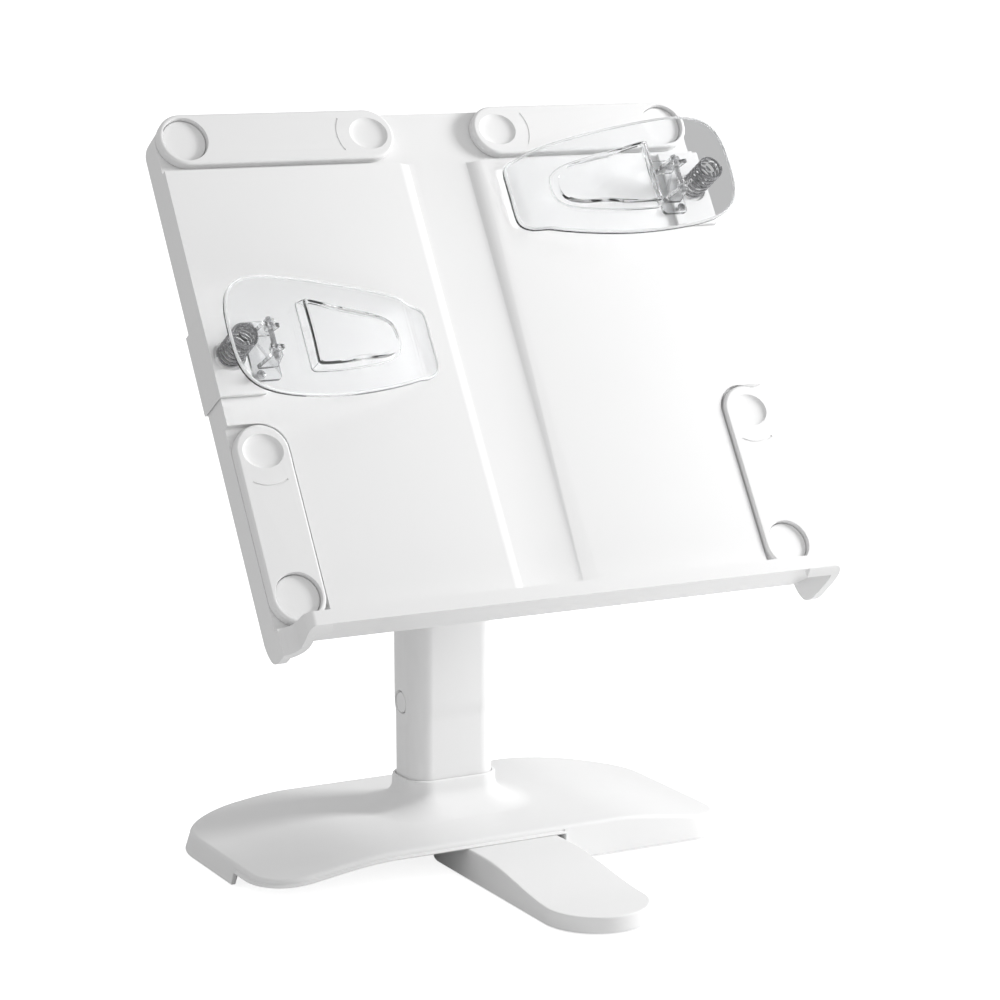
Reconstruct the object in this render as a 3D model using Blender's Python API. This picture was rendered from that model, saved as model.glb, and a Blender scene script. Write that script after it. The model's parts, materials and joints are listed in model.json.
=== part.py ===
"""A height-adjustable reading and copy stand: a tilted tray board on a column and a base with a fold-out leg.

World frame: +X along the board's width, +Y to the back, +Z up, with the ground at Z = 0. The board's own
frame, used for all that tilts, is (x, u, n): x along the width, u up the board's face, and n out of it.
Lengths are in millimetres, and each finished mesh is written in metres.
"""

import math

import bmesh
import bpy
from mathutils import Matrix, Vector

MM = 0.001
GAP = 0.3  # kept between neighbouring pieces
SIDES = {"left": -1.0, "right": 1.0}

# Base
BASE_HALF_X = 149.5
BASE_FRONT_Y = -14.0
BASE_BACK_Y = 136.5
BASE_FRONT_RADIUS = 28.0
BASE_BACK_RADIUS = 45.0
BASE_WALL = 2.6
BASE_TOP_Z = 21.0
BASE_END_Z = 13.0
BASE_CREST_X = 70.0  # the top is level between -70 and 70, and falls to its ends beyond
BASE_LIFT = 1.5  # the shell's rim hangs this high, on the feet
BAY_BACK_Y = 49.0
BAY_END_Y = 34.0  # the left end wall stops here, so that the leg's round tip can close the corner
BAY_RIGHT_X = 36.0
PARTITION = 2.0
PLATE_THICK = 2.4
FEET = ((-124.0, 100.0), (124.0, 100.0), (124.0, 12.0))
BASE_SCREWS = ((-128.0, 66.0), (-60.0, 124.0), (60.0, 124.0), (130.0, 56.0))

# Column, with the riser that slides inside it
COLUMN_Y = 68.5
COLUMN_WIDTH = 54.0
COLUMN_DEPTH = 33.5
COLUMN_RADIUS = 12.0
COLUMN_WALL = 2.5
COLUMN_FOOT_Z = 5.3
COLUMN_SWELL = ((73.0, 0.0), (76.0, 0.15), (79.0, 0.5), (82.0, 0.75), (85.0, 0.8))  # height, growth outward
COLUMN_TOP_Z = 275.0
COLLAR_TOP_Z = 39.0
COLLAR_LIP = 2.6
COLLAR_FLARE = 20.0
RISER_FOOT_Z = 8.0
RISER_WALL = 2.4
RISER_ROOF_Z = 284.0
RISER_TOP_Z = 290.0
RISER_GROOVE_HALF = 10.6  # a groove in the riser's left side clears the button's cage
RISER_GROOVE_X = -13.2
RISER_GROOVE_TOP_Z = 97.0

# Height button, in the column's left wall
BUTTON_Z = 83.0
BUTTON_RADIUS = 6.0
BUTTON_FLANGE_RADIUS = 7.6
CAGE_X = -15.5  # the spring presses on the cage's floor here
CAGE_WALL = 1.6
CAGE_HALF = 9.8

# Front leg
LEG_PIVOT_X = 2.0
LEG_PIVOT_Y = 17.0
LEG_HALF_WIDTH = 31.0
LEG_TIP_Y = -136.5
LEG_ROOT_Z = 17.2
LEG_TIP_Z = 9.9
LEG_SLOPE_START_Y = -32.0
LEG_SLOPE_END_Y = -108.0
LEG_WALL = 2.6
PIVOT_BOSS_RADIUS = 11.0
PIVOT_BOLT_RADIUS = 4.0

# Tilt hinge
HINGE_Y = 62.6
HINGE_Z = 309.2
BOARD_TILT = math.radians(32.2)  # lean back from upright
HINGE_U = 75.0  # where the hinge axis lies in the board's frame
HINGE_N = -38.0
HINGE_RADIUS = 12.0
TONGUE_HALF = 11.0
EAR_INNER = 12.6
EAR_OUTER = 17.0
HINGE_BOLT_RADIUS = 4.0

# Board
BOARD_HALF = 165.0
BOARD_TOP_U = 181.0
BOARD_DEPTH = 21.0
BOARD_CORNER = 15.5
BOARD_WALL = 2.6
CHANNEL_HALF = 26.0  # the shallow channel down the middle, across its top edges
CHANNEL_FLOOR_HALF = 18.0
SPINE_HALF = 26.6  # half the width of the block behind the channel
SPINE_POCKET_HALF = 22.0
LEDGE_TOP_U = -114.3
LEDGE_LIP_U = -122.0
LEDGE_BACK_U = -116.3  # the underside rises to here at the back
LEDGE_REACH = 22.0
LEDGE_ENDS = {"left": (157.5, 5.0), "right": (165.0, 3.0)}  # half width and corner radius at each end
FIN_WIDTH = 5.0
FIN_INNER_X = 144.0
FIN_FOOT = (  # the lower edge of the fins at the ledge's ends, as (u, n), from the back to the front
    (-116.0, -21.0), (-119.5, -20.2), (-123.5, -18.6), (-127.3, -16.0), (-129.3, -12.0), (-129.8, -7.0),
    (-129.0, 0.0), (-127.8, 8.0), (-126.3, 15.0), (-124.8, 19.5), (-123.2, 22.0),
)
RECESS_DEPTH = 4.0
RECESS_STEP_U = 148.6  # the panels end here, below the top arms
BRACKET_PLATE_HALF = (23.0, 28.0)
BRACKET_THICK = 3.0
BRACKET_SCREWS = tuple((x, HINGE_U + u) for x in (-15.0, 15.0) for u in (-21.0, 21.0))
BRACKET_SCREW_TIP_N = -12.0
COVER_THICK = 2.0

# Arms
ARM_RADIUS = 15.3
ARM_LOW_N = -3.7
ARM_TOP_N = 2.0
ARM_PIVOT_X = 149.5
TOP_ARM_PIVOT_U = 166.5
TOP_ARM_SPAN = 109.0  # between the centres of the two round ends
LOW_ARM_PIVOT_U = -98.4
LOW_ARM_SPAN = 81.0
PIN_HEAD_RADIUS = 12.3
PIN_SHANK_RADIUS = 3.0
PIN_SEAT_N = -2.2
ARMS = ("top_left", "top_right", "bottom_left", "bottom_right")

# Clips, in (x, v, n): x away from the board's middle, v up from the clip's centre line
CLIP_CENTRES_U = {"left": 37.5, "right": 123.5}
CLIP_HALF = 23.0
CLIP_PLATE_X = 139.5
CLIP_OUTER_X = 166.3
CLIP_PIN_X = 137.5
CLIP_PIN_N = 20.0
CLIP_PIN_RADIUS = 1.5
CLIP_SPRING_X = 155.5
SPRING_COIL_RADIUS = 6.6
SPRING_WIRE_RADIUS = 0.8
SPRING_TURNS = 7
LEVER_THICK = 2.2

# Colours as linear (r, g, b), roughness, metallic, alpha
FINISHES = {
    "white_plastic": ((0.86, 0.86, 0.86), 0.42, 0.0, 1.0),
    "clear_plastic": ((0.93, 0.95, 0.96), 0.05, 0.0, 0.3),
    "steel": ((0.62, 0.62, 0.63), 0.28, 1.0, 1.0),
    "spring_steel": ((0.30, 0.30, 0.31), 0.32, 1.0, 1.0),
    "rubber": ((0.09, 0.09, 0.09), 0.85, 0.0, 1.0),
}


# ---------------------------------------------------------------- scene, frames and materials


def clear_scene():
    for obj in list(bpy.data.objects):
        bpy.data.objects.remove(obj)


def frame(name, location, parent=None, rotation=(0.0, 0.0, 0.0)):
    """An empty at a place given in its parent's frame, in millimetres."""
    empty = bpy.data.objects.new(name, None)
    empty.location = Vector(location) * MM
    empty.rotation_euler = rotation
    empty.parent = parent
    bpy.context.scene.collection.objects.link(empty)
    return empty


def material(node, finish):
    (red, green, blue), roughness, metallic, alpha = FINISHES[finish]
    made = bpy.data.materials.new(node)
    made.use_nodes = True
    shader = made.node_tree.nodes["Principled BSDF"]
    shader.inputs["Base Color"].default_value = (red, green, blue, 1.0)
    shader.inputs["Roughness"].default_value = roughness
    shader.inputs["Metallic"].default_value = metallic
    shader.inputs["Alpha"].default_value = alpha
    return made


def solid(name, shape, parent, finish, origin=(0.0, 0.0, 0.0)):
    """The bmesh as an object. Its coordinates are millimetres in a frame whose parent sits at origin."""
    bmesh.ops.translate(shape, vec=-Vector(origin), verts=shape.verts)
    bmesh.ops.scale(shape, vec=(MM, MM, MM), verts=shape.verts)
    bmesh.ops.recalc_face_normals(shape, faces=shape.faces)
    mesh = bpy.data.meshes.new(name)
    shape.to_mesh(mesh)
    shape.free()
    mesh.shade_smooth()
    mesh.set_sharp_from_angle(angle=math.radians(35.0))
    obj = bpy.data.objects.new(name, mesh)
    obj.parent = parent
    bpy.context.scene.collection.objects.link(obj)
    if finish:
        mesh.materials.append(material(name, finish))
    else:
        obj.hide_render = True
        obj.display_type = "WIRE"
    return obj


def combine(obj, operation, *shapes, origin=(0.0, 0.0, 0.0)):
    """A Boolean on obj with each bmesh or helper object in turn."""
    for shape in shapes:
        helper = shape
        if isinstance(shape, bmesh.types.BMesh):
            number = sum(other.name.startswith(obj.name + "_helper") for other in bpy.data.objects)
            helper = solid(f"{obj.name}_helper_{number}", shape, obj.parent, None, origin)
        modifier = obj.modifiers.new(operation.lower(), "BOOLEAN")
        modifier.operation = operation
        modifier.solver = "EXACT"
        modifier.object = helper
    return obj


# ---------------------------------------------------------------- outlines, as lists of (a, b)


def arc(centre, radius, start, end, steps):
    """Points on an arc between two angles in degrees."""
    points = []
    for i in range(steps + 1):
        angle = math.radians(start + (end - start) * i / steps)
        points.append((centre[0] + radius * math.cos(angle), centre[1] + radius * math.sin(angle)))
    return points


def circle(centre, radius, steps=24):
    return arc(centre, radius, 0.0, 360.0, steps)[:-1]


def rounded_box(low, high, radii, steps=6):
    """A rectangle with its own corner radius at the lower left, lower right, upper right and upper left."""
    corners = (
        ((low[0], low[1]), (1, 1), 180.0),
        ((high[0], low[1]), (-1, 1), 270.0),
        ((high[0], high[1]), (-1, -1), 0.0),
        ((low[0], high[1]), (1, -1), 90.0),
    )
    points = []
    for (corner, inward, start), radius in zip(corners, radii):
        centre = (corner[0] + inward[0] * radius, corner[1] + inward[1] * radius)
        points += arc(centre, radius, start, start + 90.0, steps)
    return points


def column_outline(grow, steps=6):
    """The column's rounded section, grown outward all round."""
    half_width = COLUMN_WIDTH / 2 + grow
    half_depth = COLUMN_DEPTH / 2 + grow
    radius = COLUMN_RADIUS + grow
    low = (-half_width, COLUMN_Y - half_depth)
    high = (half_width, COLUMN_Y + half_depth)
    return rounded_box(low, high, (radius,) * 4, steps)


def stadium(start, end, radius, steps=12):
    """A bar with two fully round ends, centred on the start and end points."""
    heading = math.degrees(math.atan2(end[1] - start[1], end[0] - start[0]))
    return arc(end, radius, heading - 90.0, heading + 90.0, steps) + arc(
        start, radius, heading + 90.0, heading + 270.0, steps
    )


# ---------------------------------------------------------------- solids, as bmeshes


def loft(rings):
    """A closed solid through rings of equally many points, capped at both ends."""
    shape = bmesh.new()
    made = [[shape.verts.new(point) for point in ring] for ring in rings]
    for lower, upper in zip(made, made[1:]):
        for i in range(len(lower)):
            j = (i + 1) % len(lower)
            shape.faces.new((lower[i], lower[j], upper[j], upper[i]))
    shape.faces.new(made[0][::-1])
    shape.faces.new(made[-1])
    return shape


PLACE = {
    "x": lambda a, b, along: (along, a, b),
    "y": lambda a, b, along: (a, along, b),
    "z": lambda a, b, along: (a, b, along),
}


def prism(outline, low, high, axis="z"):
    """An outline extruded from low to high along an axis."""
    return loft([[PLACE[axis](a, b, along) for a, b in outline] for along in (low, high)])


def box(low, high):
    outline = [(low[0], low[1]), (high[0], low[1]), (high[0], high[1]), (low[0], high[1])]
    return prism(outline, low[2], high[2])


def disc(centre, radius, low, high, axis="z", steps=24):
    return prism(circle(centre, radius, steps), low, high, axis)


def turned(profile, centre, axis="z", steps=24):
    """A profile of (radius, height) turned about an axis through the centre."""
    rings = []
    for radius, along in profile:
        rings.append([PLACE[axis](a, b, along) for a, b in circle(centre, radius, steps)])
    return loft(rings)


def helix(centre, low, high, axis="z", coil=SPRING_COIL_RADIUS, wire=SPRING_WIRE_RADIUS, turns=SPRING_TURNS):
    """A coil spring with its first and last turns closed up, as one round wire."""
    steps_per_turn = 12
    sides = 6
    total = turns * steps_per_turn
    closed = steps_per_turn
    pitch_rise = high - low - 2 * wire - 4 * wire
    rings = []
    for i in range(total + 1):
        turn = i / steps_per_turn
        open_share = min(max((i - closed) / (total - 2 * closed), 0.0), 1.0)
        end_rise = 2 * wire * (min(i, closed) + max(i - total + closed, 0)) / closed
        along = low + wire + end_rise + pitch_rise * open_share
        angle = 2 * math.pi * turn
        ring = []
        for k in range(sides):
            bend = 2 * math.pi * k / sides
            reach = coil + wire * math.cos(bend)
            place = (centre[0] + reach * math.cos(angle), centre[1] + reach * math.sin(angle))
            ring.append(PLACE[axis](place[0], place[1], along + wire * math.sin(bend)))
        rings.append(ring)
    return loft(rings)


# ---------------------------------------------------------------- base


def base_top(x):
    """Height of the base's top at x: level in the middle, easing down to both ends."""
    share = min(max((abs(x) - BASE_CREST_X) / (BASE_HALF_X - BASE_CREST_X), 0.0), 1.0)
    ease = share * share * (3.0 - 2.0 * share)
    return BASE_TOP_Z - (BASE_TOP_Z - BASE_END_Z) * ease


def base_envelope(drop):
    """Everything below the base's curved top, lowered by drop, as a solid that runs past its sides."""
    reach = BASE_HALF_X + 20.0
    stations = [-reach + 2 * reach * i / 24 for i in range(25)]
    outline = [(-reach, -30.0), (reach, -30.0)]
    outline += [(x, base_top(x) - drop) for x in reversed(stations)]
    return prism(outline, BASE_FRONT_Y - 40.0, BASE_BACK_Y + 40.0, "y")


def base_outline(inset):
    low = (-BASE_HALF_X + inset, BASE_FRONT_Y + inset)
    high = (BASE_HALF_X - inset, BASE_BACK_Y - inset)
    front = BASE_FRONT_RADIUS - inset
    back = BASE_BACK_RADIUS - inset
    return rounded_box(low, high, (front, front, back, back), 8)


def collar():
    """The trumpet that rises from the bar to the column's collar."""
    rings = []
    flare_top = COLLAR_TOP_Z - 6.0
    steps = 6
    foot_z = BASE_TOP_Z - 4.0
    rings.append([(a, b, foot_z) for a, b in column_outline(COLLAR_LIP + COLLAR_FLARE)])
    for i in range(steps + 1):
        share = i / steps
        grow = COLLAR_LIP + COLLAR_FLARE * (1.0 - share) ** 2.2
        z = BASE_TOP_Z - 0.6 + (flare_top - BASE_TOP_Z + 0.6) * share
        rings.append([(a, b, z) for a, b in column_outline(grow)])
    rings.append([(a, b, COLLAR_TOP_Z) for a, b in column_outline(COLLAR_LIP - 0.5)])
    return loft(rings)


def make_base(root):
    shell = solid("base_shell", prism(base_outline(0.0), BASE_LIFT, 40.0), root, "white_plastic")
    combine(shell, "INTERSECT", base_envelope(0.0))
    combine(shell, "UNION", collar())

    # The hollow under the bar, which opens at the front for the leg, less the partitions round the leg's bay,
    # the column's socket and the pivot boss
    hollow = solid("base_hollow", prism(base_outline(BASE_WALL), -5.0, 40.0), root, None)
    mouth = [(-170.0, -40.0), (BAY_RIGHT_X, -40.0), (BAY_RIGHT_X, 5.0), (-140.0, 5.0), (-140.0, BAY_END_Y),
             (-170.0, BAY_END_Y)]
    combine(hollow, "UNION", prism(mouth, -7.0, 42.0))
    combine(hollow, "INTERSECT", base_envelope(BASE_WALL))
    back_rib = box((-180.0, BAY_BACK_Y, -10.0), (BAY_RIGHT_X + PARTITION, BAY_BACK_Y + PARTITION, 50.0))
    side_rib = box((BAY_RIGHT_X, -50.0, -11.0), (BAY_RIGHT_X + PARTITION, BAY_BACK_Y + 1.0, 51.0))
    socket = prism(column_outline(GAP + 2.4), COLUMN_FOOT_Z + 0.7, 52.0)
    boss = disc((LEG_PIVOT_X, LEG_PIVOT_Y), PIVOT_BOSS_RADIUS, 14.0, 53.0)
    combine(hollow, "DIFFERENCE", back_rib, side_rib, socket, boss)
    combine(shell, "DIFFERENCE", hollow)
    combine(shell, "DIFFERENCE", prism(column_outline(GAP), COLUMN_FOOT_Z - GAP, 60.0))
    combine(shell, "DIFFERENCE", disc((LEG_PIVOT_X, LEG_PIVOT_Y), PIVOT_BOLT_RADIUS + GAP, 0.0, 19.0))

    inset = BASE_WALL + GAP
    plate = prism(base_outline(inset), BASE_LIFT, BASE_LIFT + PLATE_THICK)
    plate = solid("base_plate", plate, root, "white_plastic")
    bay = box((-200.0, -60.0, -5.0), (BAY_RIGHT_X + PARTITION + GAP, BAY_BACK_Y + PARTITION + GAP, 9.0))
    combine(plate, "DIFFERENCE", bay)
    for number, (x, y) in enumerate(FEET, 1):
        combine(plate, "DIFFERENCE", disc((x, y), 3.3, -5.0, 9.0))
        profile = [(8.0, 0.0), (9.0, 0.5), (9.0, BASE_LIFT - GAP), (3.0, BASE_LIFT - GAP), (3.0, 5.0)]
        solid(f"base_foot_{number}", turned(profile, (x, y)), root, "rubber")
    for number, (x, y) in enumerate(BASE_SCREWS, 1):
        combine(plate, "DIFFERENCE", disc((x, y), 1.9, -5.0, 9.0, steps=16))
        profile = [(3.0, 0.4), (3.0, BASE_LIFT - GAP), (1.5, BASE_LIFT - GAP), (1.5, 7.0)]
        solid(f"base_screw_{number}", turned(profile, (x, y), steps=16), root, "steel")

    washer_low = 12.9
    washer = disc((LEG_PIVOT_X, LEG_PIVOT_Y), 9.5, washer_low, washer_low + 0.8)
    washer = solid("leg_pivot_washer", washer, root, "steel")
    combine(washer, "DIFFERENCE", disc((LEG_PIVOT_X, LEG_PIVOT_Y), PIVOT_BOLT_RADIUS + GAP, 0.0, 30.0))
    profile = [(7.5, 3.2), (8.0, 3.7), (8.0, 5.6), (PIVOT_BOLT_RADIUS, 5.6), (PIVOT_BOLT_RADIUS, 18.4)]
    solid("leg_pivot_bolt", turned(profile, (LEG_PIVOT_X, LEG_PIVOT_Y)), root, "steel")


# ---------------------------------------------------------------- column


def make_column(root):
    swollen = COLUMN_SWELL[-1][1]
    levels = ((COLUMN_FOOT_Z, 0.0), *COLUMN_SWELL, (COLUMN_TOP_Z - 1.5, swollen), (COLUMN_TOP_Z, 0.0))
    rings = [[(a, b, z) for a, b in column_outline(grow)] for z, grow in levels]
    column = solid("column", loft(rings), root, "white_plastic")
    combine(column, "DIFFERENCE", prism(column_outline(-COLUMN_WALL), 0.0, COLUMN_TOP_Z + 9.0))

    # A cage behind the button, open above and below, whose floor holds the spring
    wall_x = -COLUMN_WIDTH / 2 + COLUMN_WALL / 2
    inner = CAGE_HALF - CAGE_WALL
    section = [(wall_x, -CAGE_HALF), (CAGE_X + CAGE_WALL, -CAGE_HALF), (CAGE_X + CAGE_WALL, CAGE_HALF),
               (wall_x, CAGE_HALF), (wall_x, inner), (CAGE_X, inner), (CAGE_X, -inner), (wall_x, -inner)]
    section = [(x, COLUMN_Y + y) for x, y in section]
    combine(column, "UNION", prism(section, BUTTON_Z - 10.0, BUTTON_Z + 10.0))
    button_hole = disc((COLUMN_Y, BUTTON_Z), BUTTON_RADIUS + GAP, -COLUMN_WIDTH, -20.0, "x")
    combine(column, "DIFFERENCE", button_hole)


def make_button(root):
    face = -COLUMN_WIDTH / 2 - 0.5
    flange = -COLUMN_WIDTH / 2 + COLUMN_WALL + 0.8
    centre = (COLUMN_Y, BUTTON_Z)
    slide = frame("height_button_slide", (face, *centre), root)
    profile = [(BUTTON_RADIUS - 0.6, face), (BUTTON_RADIUS, face + 0.5), (BUTTON_RADIUS, flange),
               (BUTTON_FLANGE_RADIUS, flange), (BUTTON_FLANGE_RADIUS, flange + 1.3)]
    solid("height_button", turned(profile, centre, "x"), slide, "white_plastic", (face, *centre))
    spring = helix(centre, flange + 1.3 + GAP, CAGE_X - GAP, "x", 4.5, 0.45, 4)
    solid("height_spring", spring, root, "spring_steel")


def make_riser(root):
    origin = (0.0, COLUMN_Y, RISER_TOP_Z)
    slide = frame("height_slide", origin, root)
    shank = prism(column_outline(-COLUMN_WALL - GAP), RISER_FOOT_Z, RISER_ROOF_Z)
    riser = solid("riser", shank, slide, "white_plastic", origin)
    full = COLUMN_SWELL[-1][1]
    levels = ((COLUMN_TOP_Z + 0.6, full - 0.8), (COLUMN_TOP_Z + 2.2, full), (RISER_TOP_Z - 2.0, full),
              (RISER_TOP_Z, full - 2.0))
    head = loft([[(a, b, z) for a, b in column_outline(grow)] for z, grow in levels])
    foot_z = RISER_TOP_Z - 4.0
    tongue = [(HINGE_Y - HINGE_RADIUS + 2.0, foot_z), (HINGE_Y + HINGE_RADIUS + 4.0, foot_z)]
    tongue += arc((HINGE_Y, HINGE_Z), HINGE_RADIUS, 0.0, 190.0, 12)
    combine(riser, "UNION", head, prism(tongue, -TONGUE_HALF, TONGUE_HALF, "x"), origin=origin)

    # Hollow beside the groove to the bottom, and bored for the hinge bolt
    half_width = COLUMN_WIDTH / 2 - COLUMN_WALL - GAP - RISER_WALL
    half_depth = COLUMN_DEPTH / 2 - COLUMN_WALL - GAP - RISER_WALL
    low = (RISER_GROOVE_X + RISER_WALL, COLUMN_Y - half_depth)
    high = (half_width, COLUMN_Y + half_depth)
    bore = prism(rounded_box(low, high, (2.0, 6.0, 6.0, 2.0)), 0.0, RISER_ROOF_Z)
    groove = box((-40.0, COLUMN_Y - RISER_GROOVE_HALF, 0.0),
                 (RISER_GROOVE_X, COLUMN_Y + RISER_GROOVE_HALF, RISER_GROOVE_TOP_Z))
    hinge_bore = disc((HINGE_Y, HINGE_Z), HINGE_BOLT_RADIUS + GAP, -40.0, 40.0, "x")
    combine(riser, "DIFFERENCE", bore, groove, hinge_bore, origin=origin)
    return slide


# ---------------------------------------------------------------- front leg


def leg_top(y):
    """Height of the leg's top at y: high at the root, easing down to the tip."""
    share = (LEG_SLOPE_START_Y - y) / (LEG_SLOPE_START_Y - LEG_SLOPE_END_Y)
    share = min(max(share, 0.0), 1.0)
    return LEG_ROOT_Z + (LEG_TIP_Z - LEG_ROOT_Z) * share * share * (3.0 - 2.0 * share)


def leg_envelope(drop):
    front = LEG_TIP_Y - 20.0
    back = LEG_PIVOT_Y + LEG_HALF_WIDTH + 20.0
    stations = [front + (back - front) * i / 20 for i in range(21)]
    outline = [(front, -30.0), (back, -30.0)] + [(y, leg_top(y) - drop) for y in reversed(stations)]
    return prism(outline, -80.0, 80.0, "x")


def make_leg(root):
    pivot = (LEG_PIVOT_X, LEG_PIVOT_Y)
    origin = (*pivot, 0.0)
    swing = frame("leg_swing", origin, root)
    tip = (LEG_PIVOT_X, LEG_TIP_Y + LEG_HALF_WIDTH)
    draft = 3.0
    rings = [[(a, b, z) for a, b in stadium(tip, pivot, LEG_HALF_WIDTH - inset)]
             for z, inset in ((BASE_LIFT - 0.3, 0.0), (LEG_ROOT_Z + 3.0, draft))]
    leg = solid("front_leg", loft(rings), swing, "white_plastic", origin)
    combine(leg, "INTERSECT", leg_envelope(0.0), origin=origin)

    rings = [[(a, b, z) for a, b in stadium(tip, pivot, LEG_HALF_WIDTH - LEG_WALL - inset)]
             for z, inset in ((-2.0, 0.0), (LEG_ROOT_Z + 3.0, draft))]
    hollow = solid("leg_hollow", loft(rings), swing, None, origin)
    combine(hollow, "INTERSECT", leg_envelope(LEG_WALL), origin=origin)
    pad = (LEG_PIVOT_X, tip[1] + 2.0)
    bosses = [disc(pivot, PIVOT_BOSS_RADIUS + 3.0, 6.0, 30.0), disc(pad, 10.0, BASE_LIFT + 0.7, 30.0)]
    rib = box((LEG_PIVOT_X - 1.0, tip[1] + 4.0, BASE_LIFT + 0.7),
              (LEG_PIVOT_X + 1.0, LEG_PIVOT_Y - 10.0, 30.0))
    combine(hollow, "DIFFERENCE", *bosses, rib, origin=origin)
    combine(leg, "DIFFERENCE", hollow)

    # The pivot boss is sunk at the top for the washer, and bored for the bolt's shank
    combine(leg, "DIFFERENCE", disc(pivot, PIVOT_BOSS_RADIUS + 1.0, 12.6, 30.0), origin=origin)
    combine(leg, "DIFFERENCE", disc(pivot, PIVOT_BOLT_RADIUS + GAP, -5.0, 30.0), origin=origin)
    combine(leg, "DIFFERENCE", disc(pad, 3.3, -5.0, 5.5), origin=origin)
    profile = [(8.2, 0.0), (9.0, 0.5), (9.0, BASE_LIFT + 0.4), (3.0, BASE_LIFT + 0.4), (3.0, 5.0)]
    solid("leg_foot", turned(profile, pad), swing, "rubber", origin)


# ---------------------------------------------------------------- board, in (x, u, n)

BOARD_ORIGIN = (0.0, HINGE_U, HINGE_N)


def ledge_outline(inset=0.0):
    """The ledge seen along the board, as (x, n), drawn in by inset. Its left end steps in from the side."""
    back = -BOARD_DEPTH - inset
    outline = []
    for side in ("right", "left"):
        half, radius = LEDGE_ENDS[side]
        points = [(BOARD_HALF - inset, back)]
        root = BOARD_HALF - half
        if root > 0.0:
            start = 180.0 + math.degrees(math.acos(inset / (root + inset)))
            points += arc((BOARD_HALF, root), root + inset, start, 180.0, 4)
        corner = max(radius - inset, 0.5)
        centre = (half - inset - corner, LEDGE_REACH - inset - corner)
        points += arc(centre, corner, 0.0, 90.0, 8)
        outline += points if side == "right" else [(-x, n) for x, n in reversed(points)]
    return outline


def arm_ends(name):
    """The pivot and the far round end's centre of an arm, as (x, u)."""
    level, side = name.split("_")
    sign = SIDES[side]
    if level == "top":
        pivot = (sign * ARM_PIVOT_X, TOP_ARM_PIVOT_U)
        return pivot, (pivot[0] - sign * TOP_ARM_SPAN, pivot[1])
    pivot = (sign * ARM_PIVOT_X, LOW_ARM_PIVOT_U)
    return pivot, (pivot[0], pivot[1] + LOW_ARM_SPAN)



def recesses():
    """The shallow bays that the arms lie in, open to the board's edges."""
    made = [box((-BOARD_HALF - 9.0, RECESS_STEP_U, -RECESS_DEPTH),
                (BOARD_HALF + 9.0, BOARD_TOP_U + 9.0, 20.0))]
    for side, sign in SIDES.items():
        _, end = arm_ends(f"bottom_{side}")
        inner = ARM_PIVOT_X - ARM_RADIUS - 1.0
        top = end[1] + ARM_RADIUS + 1.2
        low, high = sorted((sign * inner, sign * (BOARD_HALF + 9.0)))
        radii = (0.5, 0.5, 0.5, 16.0) if sign > 0 else (0.5, 0.5, 16.0, 0.5)
        made.append(prism(rounded_box((low, LEDGE_TOP_U), (high, top), radii), -RECESS_DEPTH, 20.0))
    return made


def cells(sign, x_range, u_range, top):
    """Two by two cells behind one panel, up to a given height, with ribs between them."""
    middle_x = (x_range[0] + x_range[1]) / 2
    middle_u = (u_range[0] + u_range[1]) / 2
    half_rib = 1.0
    made = []
    for u_low, u_high in ((u_range[0], middle_u - half_rib), (middle_u + half_rib, u_range[1])):
        for x_low, x_high in ((x_range[0], middle_x - half_rib), (middle_x + half_rib, x_range[1])):
            low, high = sorted((sign * x_low, sign * x_high))
            made.append(box((low, u_low, -40.0), (high, u_high, top)))
    return made


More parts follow.
